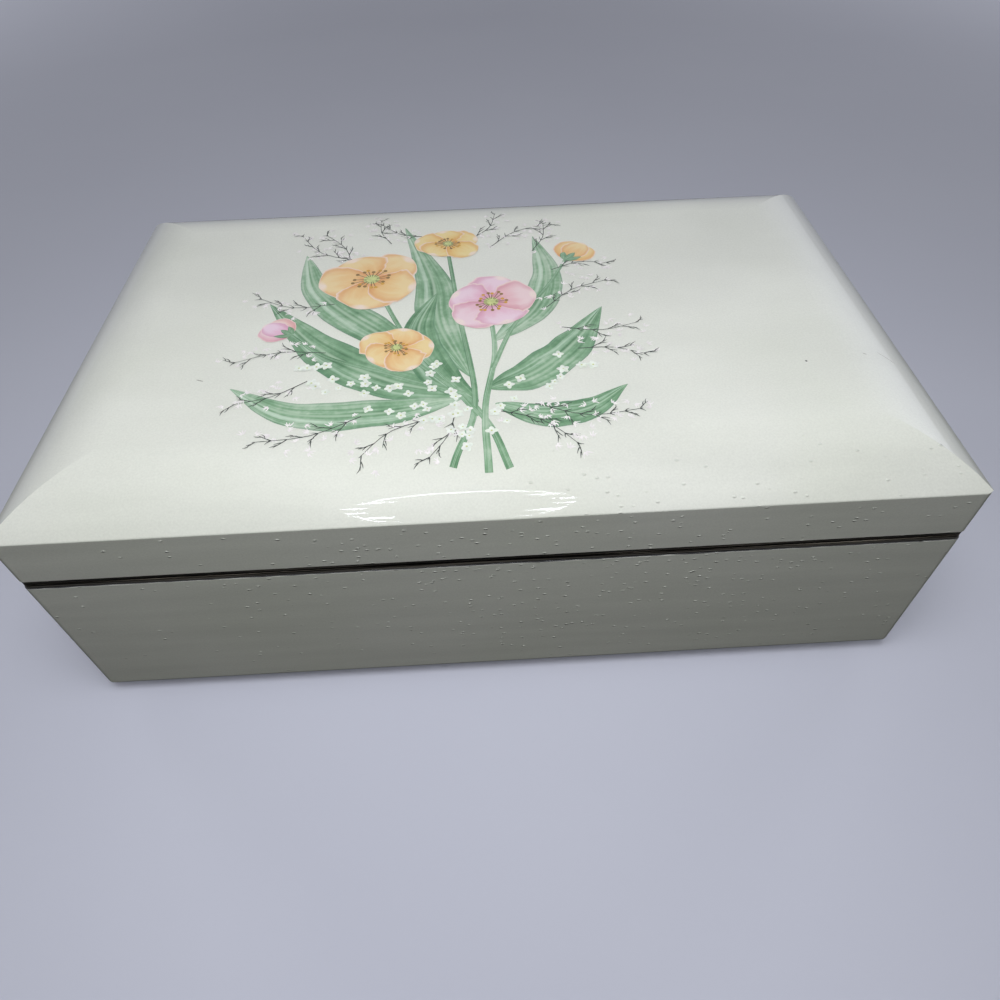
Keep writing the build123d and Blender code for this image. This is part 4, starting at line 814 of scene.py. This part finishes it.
def petal_width(half_width):
    """The half width of a rounded petal along its length."""
    return lambda share: half_width * (0.22 * (1 - share) + math.sin(math.pi * share**1.35) ** 0.62)


def blossom(petals, lines, draws, centre, radius, turn, tone, tilt, lean):
    """An open five-petalled blossom seen a little from the side."""
    nod = heading(lean)

    def seen(step):
        return step - nod * step.dot(nod) * tilt

    for count in range(5):
        angle = turn + 72 * count + draws.uniform(-5, 5)
        long = radius * draws.uniform(0.92, 1.04)
        bend = heading(angle + 90, radius * draws.uniform(-0.08, 0.08))
        course = [
            centre + seen(heading(angle, 0.04 * long)), centre + seen(heading(angle, 0.5 * long) + bend),
            centre + seen(heading(angle, long))
        ]
        narrow = 1 - tilt * 0.5 * abs(heading(angle + 90).dot(nod))
        petals.stroke(
            course, petal_width(0.53 * radius * narrow), PETAL_LIFT + 0.006 * count,
            tone + draws.uniform(-0.08, 0.08), columns=14, rows=22, wobble=0.16, notch=0.12 * radius
        )
    lines.dot(centre, 0.15 * radius, EYE_LIFT, EYE_TONE)
    for count in range(17):
        angle = 360 / 17 * count + draws.uniform(-7, 7)
        inner, outer = 0.1 * radius, radius * draws.uniform(0.24, 0.38)
        start, end = centre + seen(heading(angle, inner)), centre + seen(heading(angle, outer))
        lines.stroke([start, (start + end) / 2, end], lambda share: 0.13, STAMEN_LIFT, STAMEN_TONE, rows=3)
        lines.dot(end, 0.03 * radius + 0.12, ANTHER_LIFT, draws.choice(ANTHER_TONES), columns=4, rows=6)


def bud(petals, leaves, draws, base, angle, size, tone):
    """A closed round bud in its sepals."""
    for count, lean in enumerate((-16, 17, 2)):
        course = [
            base, base + heading(angle + lean * 1.5, 0.5 * size),
            base + heading(angle + lean * 0.45, size * (0.92 + 0.04 * count))
        ]
        petals.stroke(
            course, petal_width(0.36 * size), PETAL_LIFT + 0.006 * count, tone + 0.1 * count - 0.1,
            columns=10, rows=18, wobble=0.12
        )
    for count, lean in enumerate((-42, 38, -6)):
        tip = base + heading(angle + lean, size * draws.uniform(0.36, 0.5))
        middle = base + heading(angle + lean * 1.3, 0.22 * size)
        leaves.stroke(
            [base - heading(angle, 0.06 * size), middle, tip], blade(0.09 * size), SEPAL_LIFT + 0.005 * count,
            SEPAL_TONE, columns=4, rows=10
        )


def floret(lines, draws, centre, radius, lift):
    """A tiny white floret with a green eye."""
    turn = draws.uniform(0, 90)
    lobes = draws.choice((4, 5))
    for count in range(lobes):
        angle = turn + 360 / lobes * count
        tip = centre + heading(angle, radius * draws.uniform(0.85, 1.1))
        lines.stroke(
            [centre, (centre + tip) / 2, tip],
            lambda share: radius * 0.4 * math.sin(math.pi * (0.12 + 0.86 * share)) ** 0.6,
            lift + 0.002 * count, draws.uniform(*FLORET_TONES), columns=4, rows=6
        )
    lines.dot(centre, 0.17 * radius, lift + 0.014, EYE_TONE, columns=2, rows=4)


def sprig(lines, draws, start, angle, length, bow):
    """A wiry twig with forked side needles and tufts of white between them."""
    end = start + heading(angle, length)
    middle = (start + end) / 2 + heading(angle + 90, bow)
    course = [start, middle, end]
    lines.stroke(course, lambda share: 0.17 - 0.09 * share, TWIG_LIFT, TWIG_TONE, rows=10)

    def needle(root, way, long, half_width=0.15, tone=0.0, lift=TWIG_LIFT):
        tip = root + heading(way, long)
        bend = (root + tip) / 2 + heading(way + 90, draws.uniform(-0.3, 0.3))
        lines.stroke(
            [root, bend, tip], lambda share: half_width * (1 - share) ** 0.6 + 0.03, lift,
            tone + draws.uniform(0.0, 0.05), rows=5
        )
        return tip

    knots = max(3, int(length / 4.4))
    for knot in range(1, knots + 1):
        here, ahead = course_at(course, knot / (knots + 0.2))
        way = math.degrees(math.atan2(ahead.y, ahead.x))
        side = 1 if knot % 2 else -1
        turn = way + side * draws.uniform(26, 44)
        long = draws.uniform(4.6, 7.6) * (1 - 0.3 * knot / knots)
        tip = needle(here, turn, long)
        for share in (0.4, 0.72):
            fork = here + (tip - here) * share
            needle(fork, turn + draws.choice((-1, 1)) * draws.uniform(18, 34), 0.48 * long)
        if draws.random() < 0.6:
            needle(here, way - side * draws.uniform(25, 50), 0.45 * long)
        for _ in range(3):
            tuft = here + heading(draws.uniform(0, 360), draws.uniform(2.4, 6.5))
            fan = draws.uniform(0, 360)
            for layer, blade_turn in enumerate((-46, -18, 12, 40)):
                apart = tuft + heading(fan + blade_turn, 0.25)
                needle(
                    apart, fan + blade_turn, draws.uniform(1.2, 2.2), 0.26, TUFT_TONE,
                    TUFT_LIFT + 0.01 * layer
                )


# course in mm from the lid's middle, half width, tone
LEAVES = (
    (((-6, -46), (-30, -38), (-54, -20), (-75, 8)), 8.6, 0.30),
    (((-8, -48), (-34, -53), (-60, -51), (-80, -38)), 6.2, 0.55),
    (((-5, -38), (-15, -10), (-18, 20), (-29, 58)), 7.2, 0.45),
    (((0, -44), (15, -37), (29, -23), (41, -3)), 7.6, 0.35),
    (((2, -51), (16, -57), (30, -55), (43, -45)), 5.4, 0.20),
    (((3, -20), (18, -2), (24, 20), (21, 47)), 6.4, 0.60),
    (((-12, -32), (-38, -10), (-58, 14), (-66, 40)), 7.4, 0.50),
    (((-3, -50), (-16, -34), (-22, -12), (-16, 10)), 6.8, 0.10),
)
# course, half width, tone
STEMS = (
    (((5, -76), (-3, -54), (-24, -20), (-38, 16)), 1.0, 0.35),
    (((-11, -75), (-4, -50), (-8, -6), (-12, 38)), 0.95, 0.15),
    (((-1, -77), (-1, -52), (3, -26), (2, 0)), 1.0, 0.45),
    (((-3, -56), (-10, -44), (-20, -32), (-27, -24)), 0.8, 0.25),
    (((2, -34), (10, -12), (24, 12), (32, 29)), 0.75, 0.30),
    (((-7, -46), (-30, -35), (-52, -24), (-65, -11)), 0.75, 0.20),
)
# centre, radius, turn in degrees, tone, tilt, lean in degrees
BLOSSOMS = (
    ((-12, 44), 14.0, 20, 0.05, 0.28, 70),
    ((-40, 21), 20.0, 48, 0.42, 0.14, 130),
    ((-29, -21), 13.5, 5, 0.30, 0.22, 230),
    ((3, 3), 17.5, 80, 0.93, 0.16, 320),
)
# base, angle in degrees, size, tone
BUDS = (
    ((32, 29), 52, 13.5, 0.3),
    ((-65, -11), 148, 11.5, 0.9),
)
# start, angle in degrees, length, bow
SPRIGS = (
    ((-44, 34), 140, 34, 5),
    ((-48, 30), 116, 28, -3),
    ((-34, 46), 104, 20, 2),
    ((-20, 50), 148, 22, 3),
    ((-4, 46), 62, 24, -3),
    ((4, 40), 32, 30, 4),
    ((20, 36), 74, 22, -2),
    ((26, 22), 8, 22, 3),
    ((22, -2), 34, 28, 3),
    ((26, -14), 2, 26, -3),
    ((30, -26), -12, 22, 2),
    ((14, -52), -8, 32, -4),
    ((2, -54), -34, 28, 3),
    ((-16, -56), 214, 26, -3),
    ((-38, -54), 196, 32, 3),
    ((-52, -22), 186, 30, -3),
    ((-52, 6), 168, 28, 4),
    ((-10, -54), 246, 20, 2),
    ((-56, -36), 204, 24, 2),
)
# course, how many florets
FLORET_SPRAYS = (
    (((-1, -66), (-18, -52), (-40, -42), (-60, -28)), 34),
    (((0, -62), (-8, -44), (-18, -34), (-20, -28)), 15),
    (((2, -60), (12, -44), (22, -36), (33, -30)), 12),
)
# start and end of each handling mark, half width, tone
MARKS = (
    ((100.2, -38.2), (100.9, -38.1), 0.42, 0.06),
    ((125.6, -33.4), (130.6, -37.4), 0.11, 0.17),
    ((119.8, -35.0), (121.0, -35.6), 0.16, 0.15),
    ((-91.6, -32.6), (-89.2, -33.6), 0.2, 0.13),
    ((-60.5, 25.0), (-59.8, 25.2), 0.22, 0.14),
)


def handling_marks(lines):
    """A dark speck, a hairline scratch and faint rubs left on the lid by use."""
    for start, end, half_width, tone in MARKS:
        a, b = Vector(start), Vector(end)
        lines.stroke(
            [a, (a + b) / 2, b], lambda share: half_width * (4 * share * (1 - share)) ** 0.5, MARK_LIFT, tone,
            rows=8, wobble=0.5
        )


def flower_print():
    """The litho transfer of open blossoms, buds, leaves, florets and twigs on the lid."""
    surface = lid_surface()
    petals, leaves, lines = Ink(surface), Ink(surface), Ink(surface)
    draws = random.Random(41)

    def course_of(points):
        return [Vector(point) for point in points]

    for start, angle, length, bow in SPRIGS:
        sprig(lines, draws, Vector(start), angle, length, bow)
    for layer, (points, half_width, tone) in enumerate(LEAVES):
        leaves.stroke(
            course_of(points), blade(half_width), LEAF_LIFT + 0.004 * layer, tone, columns=12, rows=40,
            wobble=0.14
        )
    for layer, (points, half_width, tone) in enumerate(STEMS):
        leaves.stroke(
            course_of(points), lambda share: half_width * (1.15 - 0.4 * share), STEM_LIFT + 0.002 * layer,
            tone, columns=4, rows=30, wobble=0.1
        )
    for centre, radius, turn, tone, tilt, lean in BLOSSOMS:
        blossom(petals, lines, draws, Vector(centre), radius, turn, tone, tilt, lean)
    for base, angle, size, tone in BUDS:
        bud(petals, leaves, draws, Vector(base), angle, size, tone)
    # Three arching sprays of florets cross the lower leaves.
    for points, count in FLORET_SPRAYS:
        course = course_of(points)
        for place in range(count):
            here, ahead = course_at(course, (place + 0.5) / count)
            spot = here + Vector((-ahead.y, ahead.x)) * draws.uniform(-6.5, 6.5)
            if all((spot - Vector(centre)).length > 1.1 * radius for centre, radius, *_ in BLOSSOMS):
                floret(lines, draws, spot, draws.uniform(1.4, 2.1), FLORET_LIFT + 0.012 * (place % 5))
    handling_marks(lines)
    petals.piece("print_petals", petal_ink())
    leaves.piece("print_leaves", leaf_ink())
    lines.piece("print_lines", fine_ink())


# Ring rolls


def ring_roll(node):
    """One puffed velvet roll of the ring bay, gathered at its ends."""
    low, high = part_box(node)
    middle, half = (low + high) / 2, (high - low) / 2
    stations, around = 64, 40
    points, faces = [], []
    seed = sum(map(ord, node))
    for station in range(stations + 1):
        share = station / stations
        from_end = min(share, 1 - share) * 2 * half.x
        shoulder = 7.0 * MM
        ease = 1.0 if from_end >= shoulder else math.sqrt(max(0.0, 1 - (1 - from_end / shoulder) ** 2.4))
        swell = 0.1 + 0.9 * ease
        for step in range(around):
            angle = 2 * math.pi * step / around
            cos, sin = math.cos(angle), math.sin(angle)
            square = 0.62 if sin > 0 else 0.34
            across = math.copysign(abs(cos) ** square, cos)
            up = math.copysign(abs(sin) ** (0.8 if sin > 0 else 0.34), sin)
            pleat = 0.045 * math.exp(-from_end / (9 * MM)) * (1 + math.sin(9 * angle + seed))
            ripple = 0.03 * (1 + noise.noise(Vector((share * 16, across * 1.3, up * 1.3 + seed))))
            shrink = swell * (1 - pleat) - ripple
            points.append(
                (
                    low.x + share * 2 * half.x, middle.y + half.y * across * shrink,
                    low.z + half.z * (1 + up * (shrink if up > 0 else swell))
                )
            )
    for station in range(stations):
        for step in range(around):
            a, b = station * around + step, station * around + (step + 1) % around
            faces.append((a, b, b + around, a + around))
    faces.append(tuple(reversed(range(around))))
    faces.append(tuple(stations * around + step for step in range(around)))
    roll = mesh_piece("velvet_" + node, points, faces, rayon_velvet())
    smoother = roll.modifiers.new("rounded", "SUBSURF")
    smoother.levels = smoother.render_levels = 1
    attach(roll, "case")
    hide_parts(node)


# Settings


class LacquerSettings(bpy.types.PropertyGroup):
    """Colours and coat of the lacquered wood."""

    ivory: FloatVectorProperty(
        name="Ivory", description="Colour of the lacquer", default=srgb("#E7EAE3"), subtype="COLOR",
        **FOUR_PARTS
    )
    aged_ivory: FloatVectorProperty(
        name="Aged ivory", description="Colour where the lacquer has yellowed", default=srgb("#E2E6DC"),
        subtype="COLOR", **FOUR_PARTS
    )
    peel_spacing: FloatProperty(
        name="Orange peel spacing", description="Width of the fine waves of the coat", unit="LENGTH",
        default=2.6 * MM
    )
    peel_depth: FloatProperty(
        name="Orange peel depth", description="Height of the fine waves", unit="LENGTH", precision=6,
        default=0.006 * MM
    )
    sag_spacing: FloatProperty(
        name="Sag spacing", description="Width of the slow waves of the coat", unit="LENGTH", default=19 * MM
    )
    sag_depth: FloatProperty(
        name="Sag depth", description="Height of the slow waves", unit="LENGTH", precision=6,
        default=0.02 * MM
    )
    nib_spacing: FloatProperty(
        name="Nib spacing", description="Distance between specks of dust under the coat", unit="LENGTH",
        default=2.4 * MM
    )
    nib_reach: FloatProperty(
        name="Nib reach", description="Half width of a speck as a share of the spacing", default=0.25
    )
    nib_height: FloatProperty(
        name="Nib height", description="Height of the specks", unit="LENGTH", precision=6, default=0.25 * MM
    )


class LiningSettings(bpy.types.PropertyGroup):
    """Colours and cloth of the linings."""

    velvet: FloatVectorProperty(
        name="Velvet", description="Colour of the pile", default=srgb("#96454F"), subtype="COLOR",
        **FOUR_PARTS
    )
    velvet_shade: FloatVectorProperty(
        name="Velvet shade", description="Colour where the pile leans away", default=srgb("#6E2B34"),
        subtype="COLOR", **FOUR_PARTS
    )
    pile_spacing: FloatProperty(
        name="Pile spacing", description="Width of a tuft of pile", unit="LENGTH", default=0.55 * MM
    )
    satin: FloatVectorProperty(
        name="Satin", description="Colour of the lid panel", default=srgb("#E8CDC4"), subtype="COLOR",
        **FOUR_PARTS
    )
    satin_shade: FloatVectorProperty(
        name="Satin shade", description="Colour of the shaded threads", default=srgb("#DDBDB3"),
        subtype="COLOR", **FOUR_PARTS
    )


class StageSettings(bpy.types.PropertyGroup):
    """Floor, lamps and camera."""

    floor_colour: FloatVectorProperty(
        name="Floor", description="Colour of the paper", default=srgb("#BDC0CE"), subtype="COLOR",
        **FOUR_PARTS
    )
    floor_shade: FloatVectorProperty(
        name="Floor shade", description="Colour of the paper's darker patches", default=srgb("#B5B8C8"),
        subtype="COLOR", **FOUR_PARTS
    )
    floor_bounce: FloatVectorProperty(
        name="Floor bounce", description="Colour of the light that the paper sends up",
        default=srgb("#484846"), subtype="COLOR", **FOUR_PARTS
    )
    floor_lift: FloatProperty(
        name="Floor lift", description="Glow that keeps the far paper pale", default=0.2
    )
    key_power: FloatProperty(
        name="Key light", description="Power of the overhead lamp", unit="POWER", default=1.17
    )
    back_power: FloatProperty(
        name="Back lights", description="Power of each lamp behind", unit="POWER", default=2.1
    )
    fill_strength: FloatProperty(
        name="Fill", description="Strength of the light from all around", default=0.08
    )
    wall_strength: FloatProperty(
        name="Wall", description="Brightness of the wall on the right in the gloss", default=1.3
    )
    ring_strength: FloatProperty(
        name="Ring lamp", description="Brightness of the ring lamp's face", default=38.0
    )
    lens: FloatProperty(name="Lens", description="Focal length in mm", default=25.779)


# Operators


class BOX_OT_lacquer_case(bpy.types.Operator):
    """Lacquers the outer wood of body and lid"""

    bl_idname = "jewelry_box.lacquer_case"
    bl_label = "Lacquer the case"

    def execute(self, context):
        finish(
            (
                "body_front", "body_back", "body_left", "body_right", "lid_front", "lid_back", "lid_left",
                "lid_right", "lid_top"
            ),
            sprayed_ivory_lacquer()
        )
        return {"FINISHED"}


class BOX_OT_blacken_rims(bpy.types.Operator):
    """Blackens the meeting edges of body and lid"""

    bl_idname = "jewelry_box.blacken_rims"
    bl_label = "Blacken the rims"

    def execute(self, context):
        finish(("body_rim", "lid_rim"), black_edge_lacquer())
        return {"FINISHED"}


class BOX_OT_fit_underside(bpy.types.Operator):
    """Finishes the bottom board, its blocks and ledges, and the feet"""

    bl_idname = "jewelry_box.fit_underside"
    bl_label = "Finish the underside"

    def execute(self, context):
        finish(("bottom_board", "foot_blocks", "cover_ledges"), birch_plywood())
        finish(
            ("foot_front_left", "foot_front_right", "foot_back_left", "foot_back_right"),
            moulded_foot_plastic()
        )
        finish(("foot_screws",), zinc_plated_steel())
        return {"FINISHED"}


class BOX_OT_fit_hinges(bpy.types.Operator):
    """Finishes the two stop hinges and their screws"""

    bl_idname = "jewelry_box.fit_hinges"
    bl_label = "Finish the hinges"

    def execute(self, context):
        finish(
            (
                "hinge_left_body_leaf", "hinge_right_body_leaf", "hinge_left_lid_leaf",
                "hinge_right_lid_leaf", "hinge_pins", "hinge_body_screws", "hinge_lid_screws"
            ),
            stamped_brass()
        )
        return {"FINISHED"}


class BOX_OT_line_case(bpy.types.Operator):
    """Covers the floor, walls and partitions with velvet"""

    bl_idname = "jewelry_box.line_case"
    bl_label = "Line the case"

    def execute(self, context):
        finish(
            (
                "floor_lining", "lining_long", "lining_short", "partition_side", "partition_music",
                "partition_long", "partition_short", "stop_pad"
            ),
            rayon_velvet()
        )
        return {"FINISHED"}


class BOX_OT_fill_ring_bay(bpy.types.Operator):
    """Fills the ring bay with puffed velvet rolls"""

    bl_idname = "jewelry_box.fill_ring_bay"
    bl_label = "Fill the ring bay"

    def execute(self, context):
        for count in range(1, 5):
            ring_roll("ring_roll_%d" % count)
        return {"FINISHED"}


class BOX_OT_fit_lid_inside(bpy.types.Operator):
    """Finishes the satin panel, looking glass and gilt trim"""

    bl_idname = "jewelry_box.fit_lid_inside"
    bl_label = "Finish the lid's inside"

    def execute(self, context):
        finish(("lid_panel",), acetate_satin())
        finish(("looking_glass",), silvered_glass())
        finish(("glass_trim",), embossed_gilt())
        return {"FINISHED"}


class BOX_OT_fit_movement(bpy.types.Operator):
    """Finishes the musical movement, its key, stop rod and cover"""

    bl_idname = "jewelry_box.fit_movement"
    bl_label = "Finish the movement"

    def execute(self, context):
        finish(("bedplate",), die_cast_zinc())
        finish(("comb", "governor_worm", "mainspring"), ground_spring_steel())
        finish(("comb_screws", "movement_screws", "stop_rod"), zinc_plated_steel())
        finish(
            (
                "cylinder_arbor", "governor_bridge", "governor_wheel", "spring_housing", "stop_guide",
                "train_bearings", "winding_arbor", "winding_key"
            ),
            stamped_brass()
        )
        finish(("pinned_cylinder",), pinned_brass())
        finish(("air_brake",), moulded_nylon())
        finish(("music_cover",), cast_acrylic())
        return {"FINISHED"}


class BOX_OT_print_lid(bpy.types.Operator):
    """Lays the flower print on the lid"""

    bl_idname = "jewelry_box.print_lid"
    bl_label = "Print the lid"

    def execute(self, context):
        flower_print()
        return {"FINISHED"}


class BOX_OT_set_stage(bpy.types.Operator):
    """Sets the floor, lamps, surroundings and camera"""

    bl_idname = "jewelry_box.set_stage"
    bl_label = "Set the stage"

    def execute(self, context):
        look = context.scene.box_stage
        turns = [2 * math.pi * spoke / FLOOR_SPOKES for spoke in range(FLOOR_SPOKES)]
        rim = [(FLOOR_RADIUS * math.cos(turn), FLOOR_RADIUS * math.sin(turn), 0.0) for turn in turns]
        floor = mesh_piece("floor", rim, [tuple(range(FLOOR_SPOKES))], studio_paper(), smooth=False)
        self.ring_lamp(look)
        self.lamps(context, look)
        self.surroundings(context, look)
        camera = bpy.data.objects.new("photo_camera", bpy.data.cameras.new("photo_camera"))
        camera.data.lens = look.lens
        camera.data.sensor_width = 36.0
        camera.location = CAMERA_PLACE
        camera.rotation_euler = Euler([math.radians(turn) for turn in CAMERA_TURN])
        camera.data.clip_start = 0.005
        context.scene.collection.objects.link(camera)
        context.scene.camera = camera
        context.scene.view_settings.view_transform = "Standard"
        return {"FINISHED"}

    def ring_lamp(self, look):
        """A ring of diffuser with short bars inside its ends, seen only in the gloss."""
        centre, target = Vector((-0.041, -0.489, 0.847)), Vector((-0.009, -0.0867, 0.0875))
        away = (target - centre).normalized()
        right = Vector((1, 0, 0))
        right = (right - away * right.dot(away)).normalized()
        up = right.cross(away)
        ring, band, spokes = 0.172, 0.0026, 120
        points, faces = [], []
        for spoke in range(spokes):
            turn = 2 * math.pi * spoke / spokes
            out = right * math.cos(turn) + up * math.sin(turn)
            # The ring thins to nothing at its ends, where the bars take over, and along the middle of one
            # side.
            rise = math.sin(turn)
            thin = band * max(0.01, (abs(rise) - 0.4) / 0.6)
            if rise < 0:
                across = abs(math.cos(turn))
                begun, ended = min(1.0, max(0.0, across - 0.3) / 0.2), min(1.0, max(0.0, 0.97 - across) / 0.1)
                thin = band * (0.42 * begun * ended + 0.01)
            points += [centre + out * (ring - thin), centre + out * (ring + thin)]
            a, b = 2 * spoke, 2 * ((spoke + 1) % spokes)
            faces.append((a, a + 1, b + 1, b))
        for level, wide in ((-0.092, 0.06), (-0.031, 0.046), (0.031, 0.046), (0.092, 0.06)):
            end = math.sqrt(ring**2 - level**2) + 0.008
            for side in (-1, 1):
                first = len(points)
                waist = end - 0.4 * wide
                for reach, rise in ((end, 0), (waist, -band), (end - wide, 0), (waist, band)):
                    points.append(centre + right * side * reach + up * (level + 2.0 * rise))
                faces.append(tuple(range(first, first + 4)))
        lamp = mesh_piece("ring_lamp", points, faces, lamp_glow(look.ring_strength), smooth=False)
        lamp.visible_camera = lamp.visible_shadow = lamp.visible_diffuse = False
        return lamp

    def lamps(self, context, look):
        """One soft lamp over the front of the lid and two weak ones behind, all pointing at the box."""
        stand = (
            # name, place, size, power, target
            ("overhead_lamp", (-0.012, -0.19, 0.48), 0.26, look.key_power, (-0.01, -0.09, 0.08)),
            ("left_back_lamp", (-1.1, 0.95, 0.46), 0.5, look.back_power, (0, 0, 0.05)),
            ("right_back_lamp", (1.1, 0.95, 0.46), 0.5, look.back_power, (0, 0, 0.05)),
        )
        for name, place, size, power, target in stand:
            light = bpy.data.lights.new(name, "AREA")
            light.shape = "DISK"
            light.size = size
            light.energy = power
            light.spread = math.radians(LAMP_SPREAD)
            lamp = bpy.data.objects.new(name, light)
            lamp.location = place
            lamp.rotation_euler = (Vector(target) - lamp.location).to_track_quat("-Z", "Y").to_euler()
            lamp.visible_glossy = False
            context.scene.collection.objects.link(lamp)

    def surroundings(self, context, look):
        """A pale room that the camera, gloss and glass see, and a weaker one that lights the box."""
        world = bpy.data.worlds.new("studio")
        world.use_nodes = True
        tree = world.node_tree
        tree.nodes.clear()
        add = partial(add_node, tree)
        kinds = [add("LightPath", output=kind) for kind in SEEN_KINDS]
        seen = add("Math", {0: kinds[0], 1: kinds[1]}, operation="MAXIMUM")
        seen = add("Math", {0: seen, 1: kinds[2]}, operation="MAXIMUM")
        toward = add("TexCoord", output="Generated")
        height = add("SeparateXYZ", {"Vector": toward}, output="Z")
        shown = add("MapRange", {"Value": height, "To Min": 0.45, "To Max": 0.68})
        # A pale wall to the right and behind, seen only in the gloss, brightens that side of it.
        toward_wall = add("VectorMath", {0: toward, 1: WALL_WAY}, output="Value", operation="DOT_PRODUCT")
        toward_wall = add("Math", {0: toward_wall, 1: 0.0}, operation="MAXIMUM")
        wall = add("Math", {0: toward_wall, 1: 10.0}, operation="POWER")
        wall = add("Math", {0: wall, 1: kinds[SEEN_KINDS.index("Is Glossy Ray")]}, operation="MULTIPLY")
        shown = add("Math", {0: wall, 1: look.wall_strength, 2: shown}, operation="MULTIPLY_ADD")
        strength = add("Mix", {0: seen, 2: look.fill_strength, 3: shown}, data_type="FLOAT")
        colour = add("Mix", {0: seen, COLOUR_A: "#F4F3F0", COLOUR_B: "#D8DBE8"}, **IN_COLOUR)
        sky = add("Background", {"Color": colour, "Strength": strength})
        feed(tree.nodes.new("ShaderNodeOutputWorld"), {"Surface": sky})
        context.scene.world = world


STEPS = (
    BOX_OT_lacquer_case,
    BOX_OT_blacken_rims,
    BOX_OT_fit_underside,
    BOX_OT_fit_hinges,
    BOX_OT_line_case,
    BOX_OT_fill_ring_bay,
    BOX_OT_fit_lid_inside,
    BOX_OT_fit_movement,
    BOX_OT_print_lid,
    BOX_OT_set_stage,
)
SETTINGS = (("box_lacquer", LacquerSettings), ("box_lining", LiningSettings), ("box_stage", StageSettings))


class BOX_PT_jewelry_box(bpy.types.Panel):
    """Lists the steps and settings of the jewelry box"""

    bl_idname = "BOX_PT_jewelry_box"
    bl_label = "Jewelry box"
    bl_space_type = "VIEW_3D"
    bl_region_type = "UI"
    bl_category = "Jewelry box"

    def draw(self, context):
        for step in STEPS:
            self.layout.operator(step.bl_idname)
        for name, group in SETTINGS:
            column = self.layout.column()
            for setting in group.__annotations__:
                column.prop(getattr(context.scene, name), setting)


def register():
    """Adds the settings, operators and panel."""
    for name, group in SETTINGS:
        bpy.utils.register_class(group)
        setattr(bpy.types.Scene, name, PointerProperty(type=group))
    for kind in STEPS + (BOX_PT_jewelry_box,):
        bpy.utils.register_class(kind)


def unregister():
    """Takes away what register added."""
    for kind in reversed(STEPS + (BOX_PT_jewelry_box,)):
        bpy.utils.unregister_class(kind)
    for name, group in reversed(SETTINGS):
        delattr(bpy.types.Scene, name)
        bpy.utils.unregister_class(group)


def main():
    """Runs every step in order."""
    register()
    for step in STEPS:
        group, name = step.bl_idname.split(".")
        getattr(getattr(bpy.ops, group), name)()


if __name__ == "__main__":
    main()
